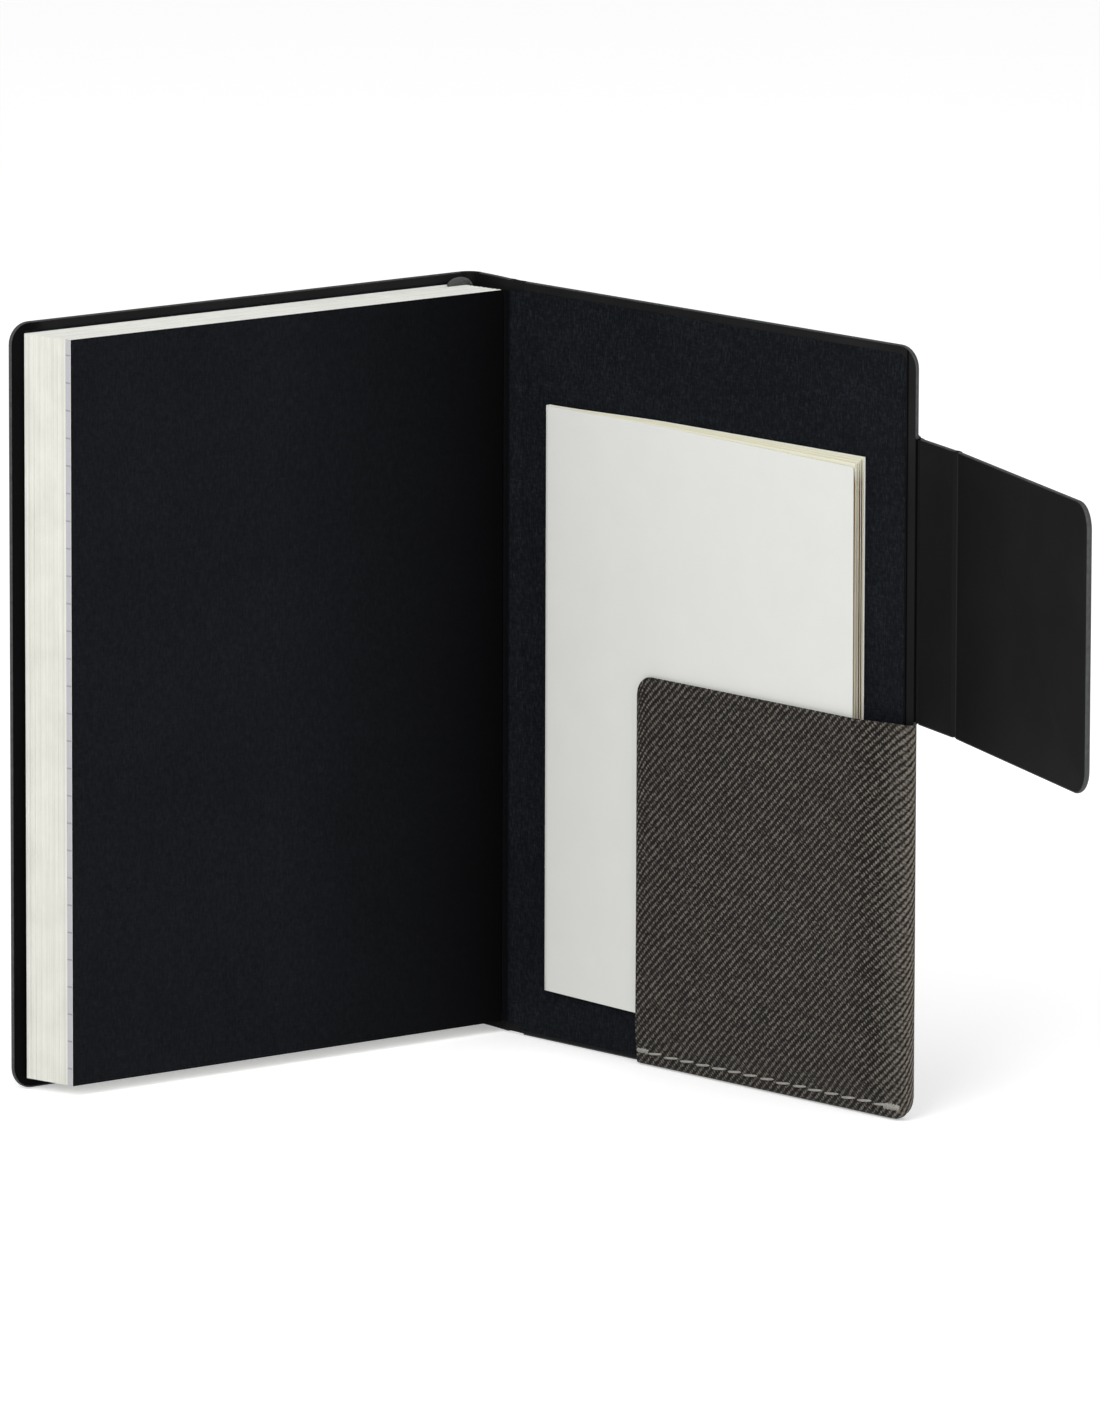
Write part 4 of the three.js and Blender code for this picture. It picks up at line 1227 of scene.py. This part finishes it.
def floor_material():
    """White to the camera, with a faint shadow that painted shade deepens by the pocket; a plain pale floor to all
    else.
    """
    m = Nodes("studio_floor")
    pale = {"Base Color": (0.88, 0.88, 0.88, 1), "Roughness": 0.9, "Specular IOR Level": 0.0}
    floor = m.new("BsdfPrincipled", pale)
    ray = m.new("LightPath").outputs
    other = m.math("MAXIMUM", ray["Is Glossy Ray"], ray["Is Transmission Ray"])
    seen = m.math("MAXIMUM", ray["Is Camera Ray"], other)
    # Painted shade: the floor's glow is weaker near the pocket, so the shadow there looks deeper.
    away = m.vector("DISTANCE", m.new("NewGeometry").outputs["Position"], (0.11, -0.13, 0.0))["Value"]
    far = m.div(m.sub(away, 0.06), 0.24, clamp=True)  # the shadow is deepest by the pocket
    glow = m.new("Emission", ((1, 1, 1, 1), m.mad(far, 0.08, 0.34)))
    soft = m.new("BsdfDiffuse", ((0.92, 0.92, 0.92, 1),))
    white = m.new("AddShader", (glow.outputs[0], soft.outputs[0]))
    mix = m.new("MixShader", (seen, floor.outputs[0], white.outputs[0]))
    m.new("OutputMaterial", (mix.outputs[0],))
    return m.mat


me = bpy.data.meshes.new("studio_floor")
me.from_pydata([(x, y, -0.0002) for x, y in ((-8, -8), (8, -8), (8, 8), (-8, 8))], [], [(0, 1, 2, 3)])
me.materials.append(floor_material())
add_object("studio_floor", me)

WORLD_LIGHT = 0.5  # on the planner; the camera sees white
world = bpy.data.worlds.new("studio")
bpy.context.scene.world = world
world.use_nodes = True
tree = world.node_tree
tree.nodes.clear()
ray = add_node(tree, "LightPath").outputs
seen = add_node(tree, "Math", (ray["Is Camera Ray"], ray["Is Transmission Ray"]), operation="MAXIMUM")
sky = [add_node(tree, "Background", ((1, 1, 1, 1), k)).outputs[0] for k in (WORLD_LIGHT, 1.0)]
mix = add_node(tree, "MixShader", (seen.outputs[0], *sky))
add_node(tree, "OutputWorld", (mix.outputs[0],))


def lamp(name, at, target, size, watts):
    data = bpy.data.lights.new(name, "AREA")
    data.shape = "SQUARE"
    data.size = size
    data.energy = watts
    obj = add_object(name, data)
    obj.location = at
    obj.rotation_mode = "QUATERNION"
    obj.rotation_quaternion = (Vector(target) - Vector(at)).to_track_quat("-Z", "Y")


lamp("key", (-0.9, -1.9, 1.35), (0, 0, 0.1), 1.4, 30)
lamp("top", (0.2, -0.7, 2.2), (0, 0, 0.1), 1.6, 9)
lamp("fill", (1.3, -1.8, 0.7), (0.03, 0, 0.1), 1.4, 15)

# Camera

AZ, EL, DIST, FOCAL, ROLL = -0.1542, 10.7168, 4.0922934, 14878.68, 0.1701
TARGET = Vector((0.0149752, 0, 0.0878258))
az, el, roll = math.radians(AZ), math.radians(EL), math.radians(ROLL)
fwd = Vector((math.sin(az) * math.cos(el), math.cos(az) * math.cos(el), -math.sin(el)))
right = Vector((math.cos(az), -math.sin(az), 0))
up = right.cross(fwd)
cam_x = right * math.cos(roll) + up * math.sin(roll)
cam_y = up * math.cos(roll) - right * math.sin(roll)
data = bpy.data.cameras.new("camera")
cam = add_object("camera", data)
data.sensor_fit = "AUTO"
data.sensor_width = 36.0
data.lens = FOCAL * 36.0 / 1428
data.clip_start, data.clip_end = 0.1, 60
pose = Matrix((cam_x, cam_y, -fwd)).transposed().to_4x4()
pose.translation = TARGET - fwd * DIST
cam.matrix_world = pose
bpy.context.scene.camera = cam
bpy.context.scene.view_settings.view_transform = "Standard"
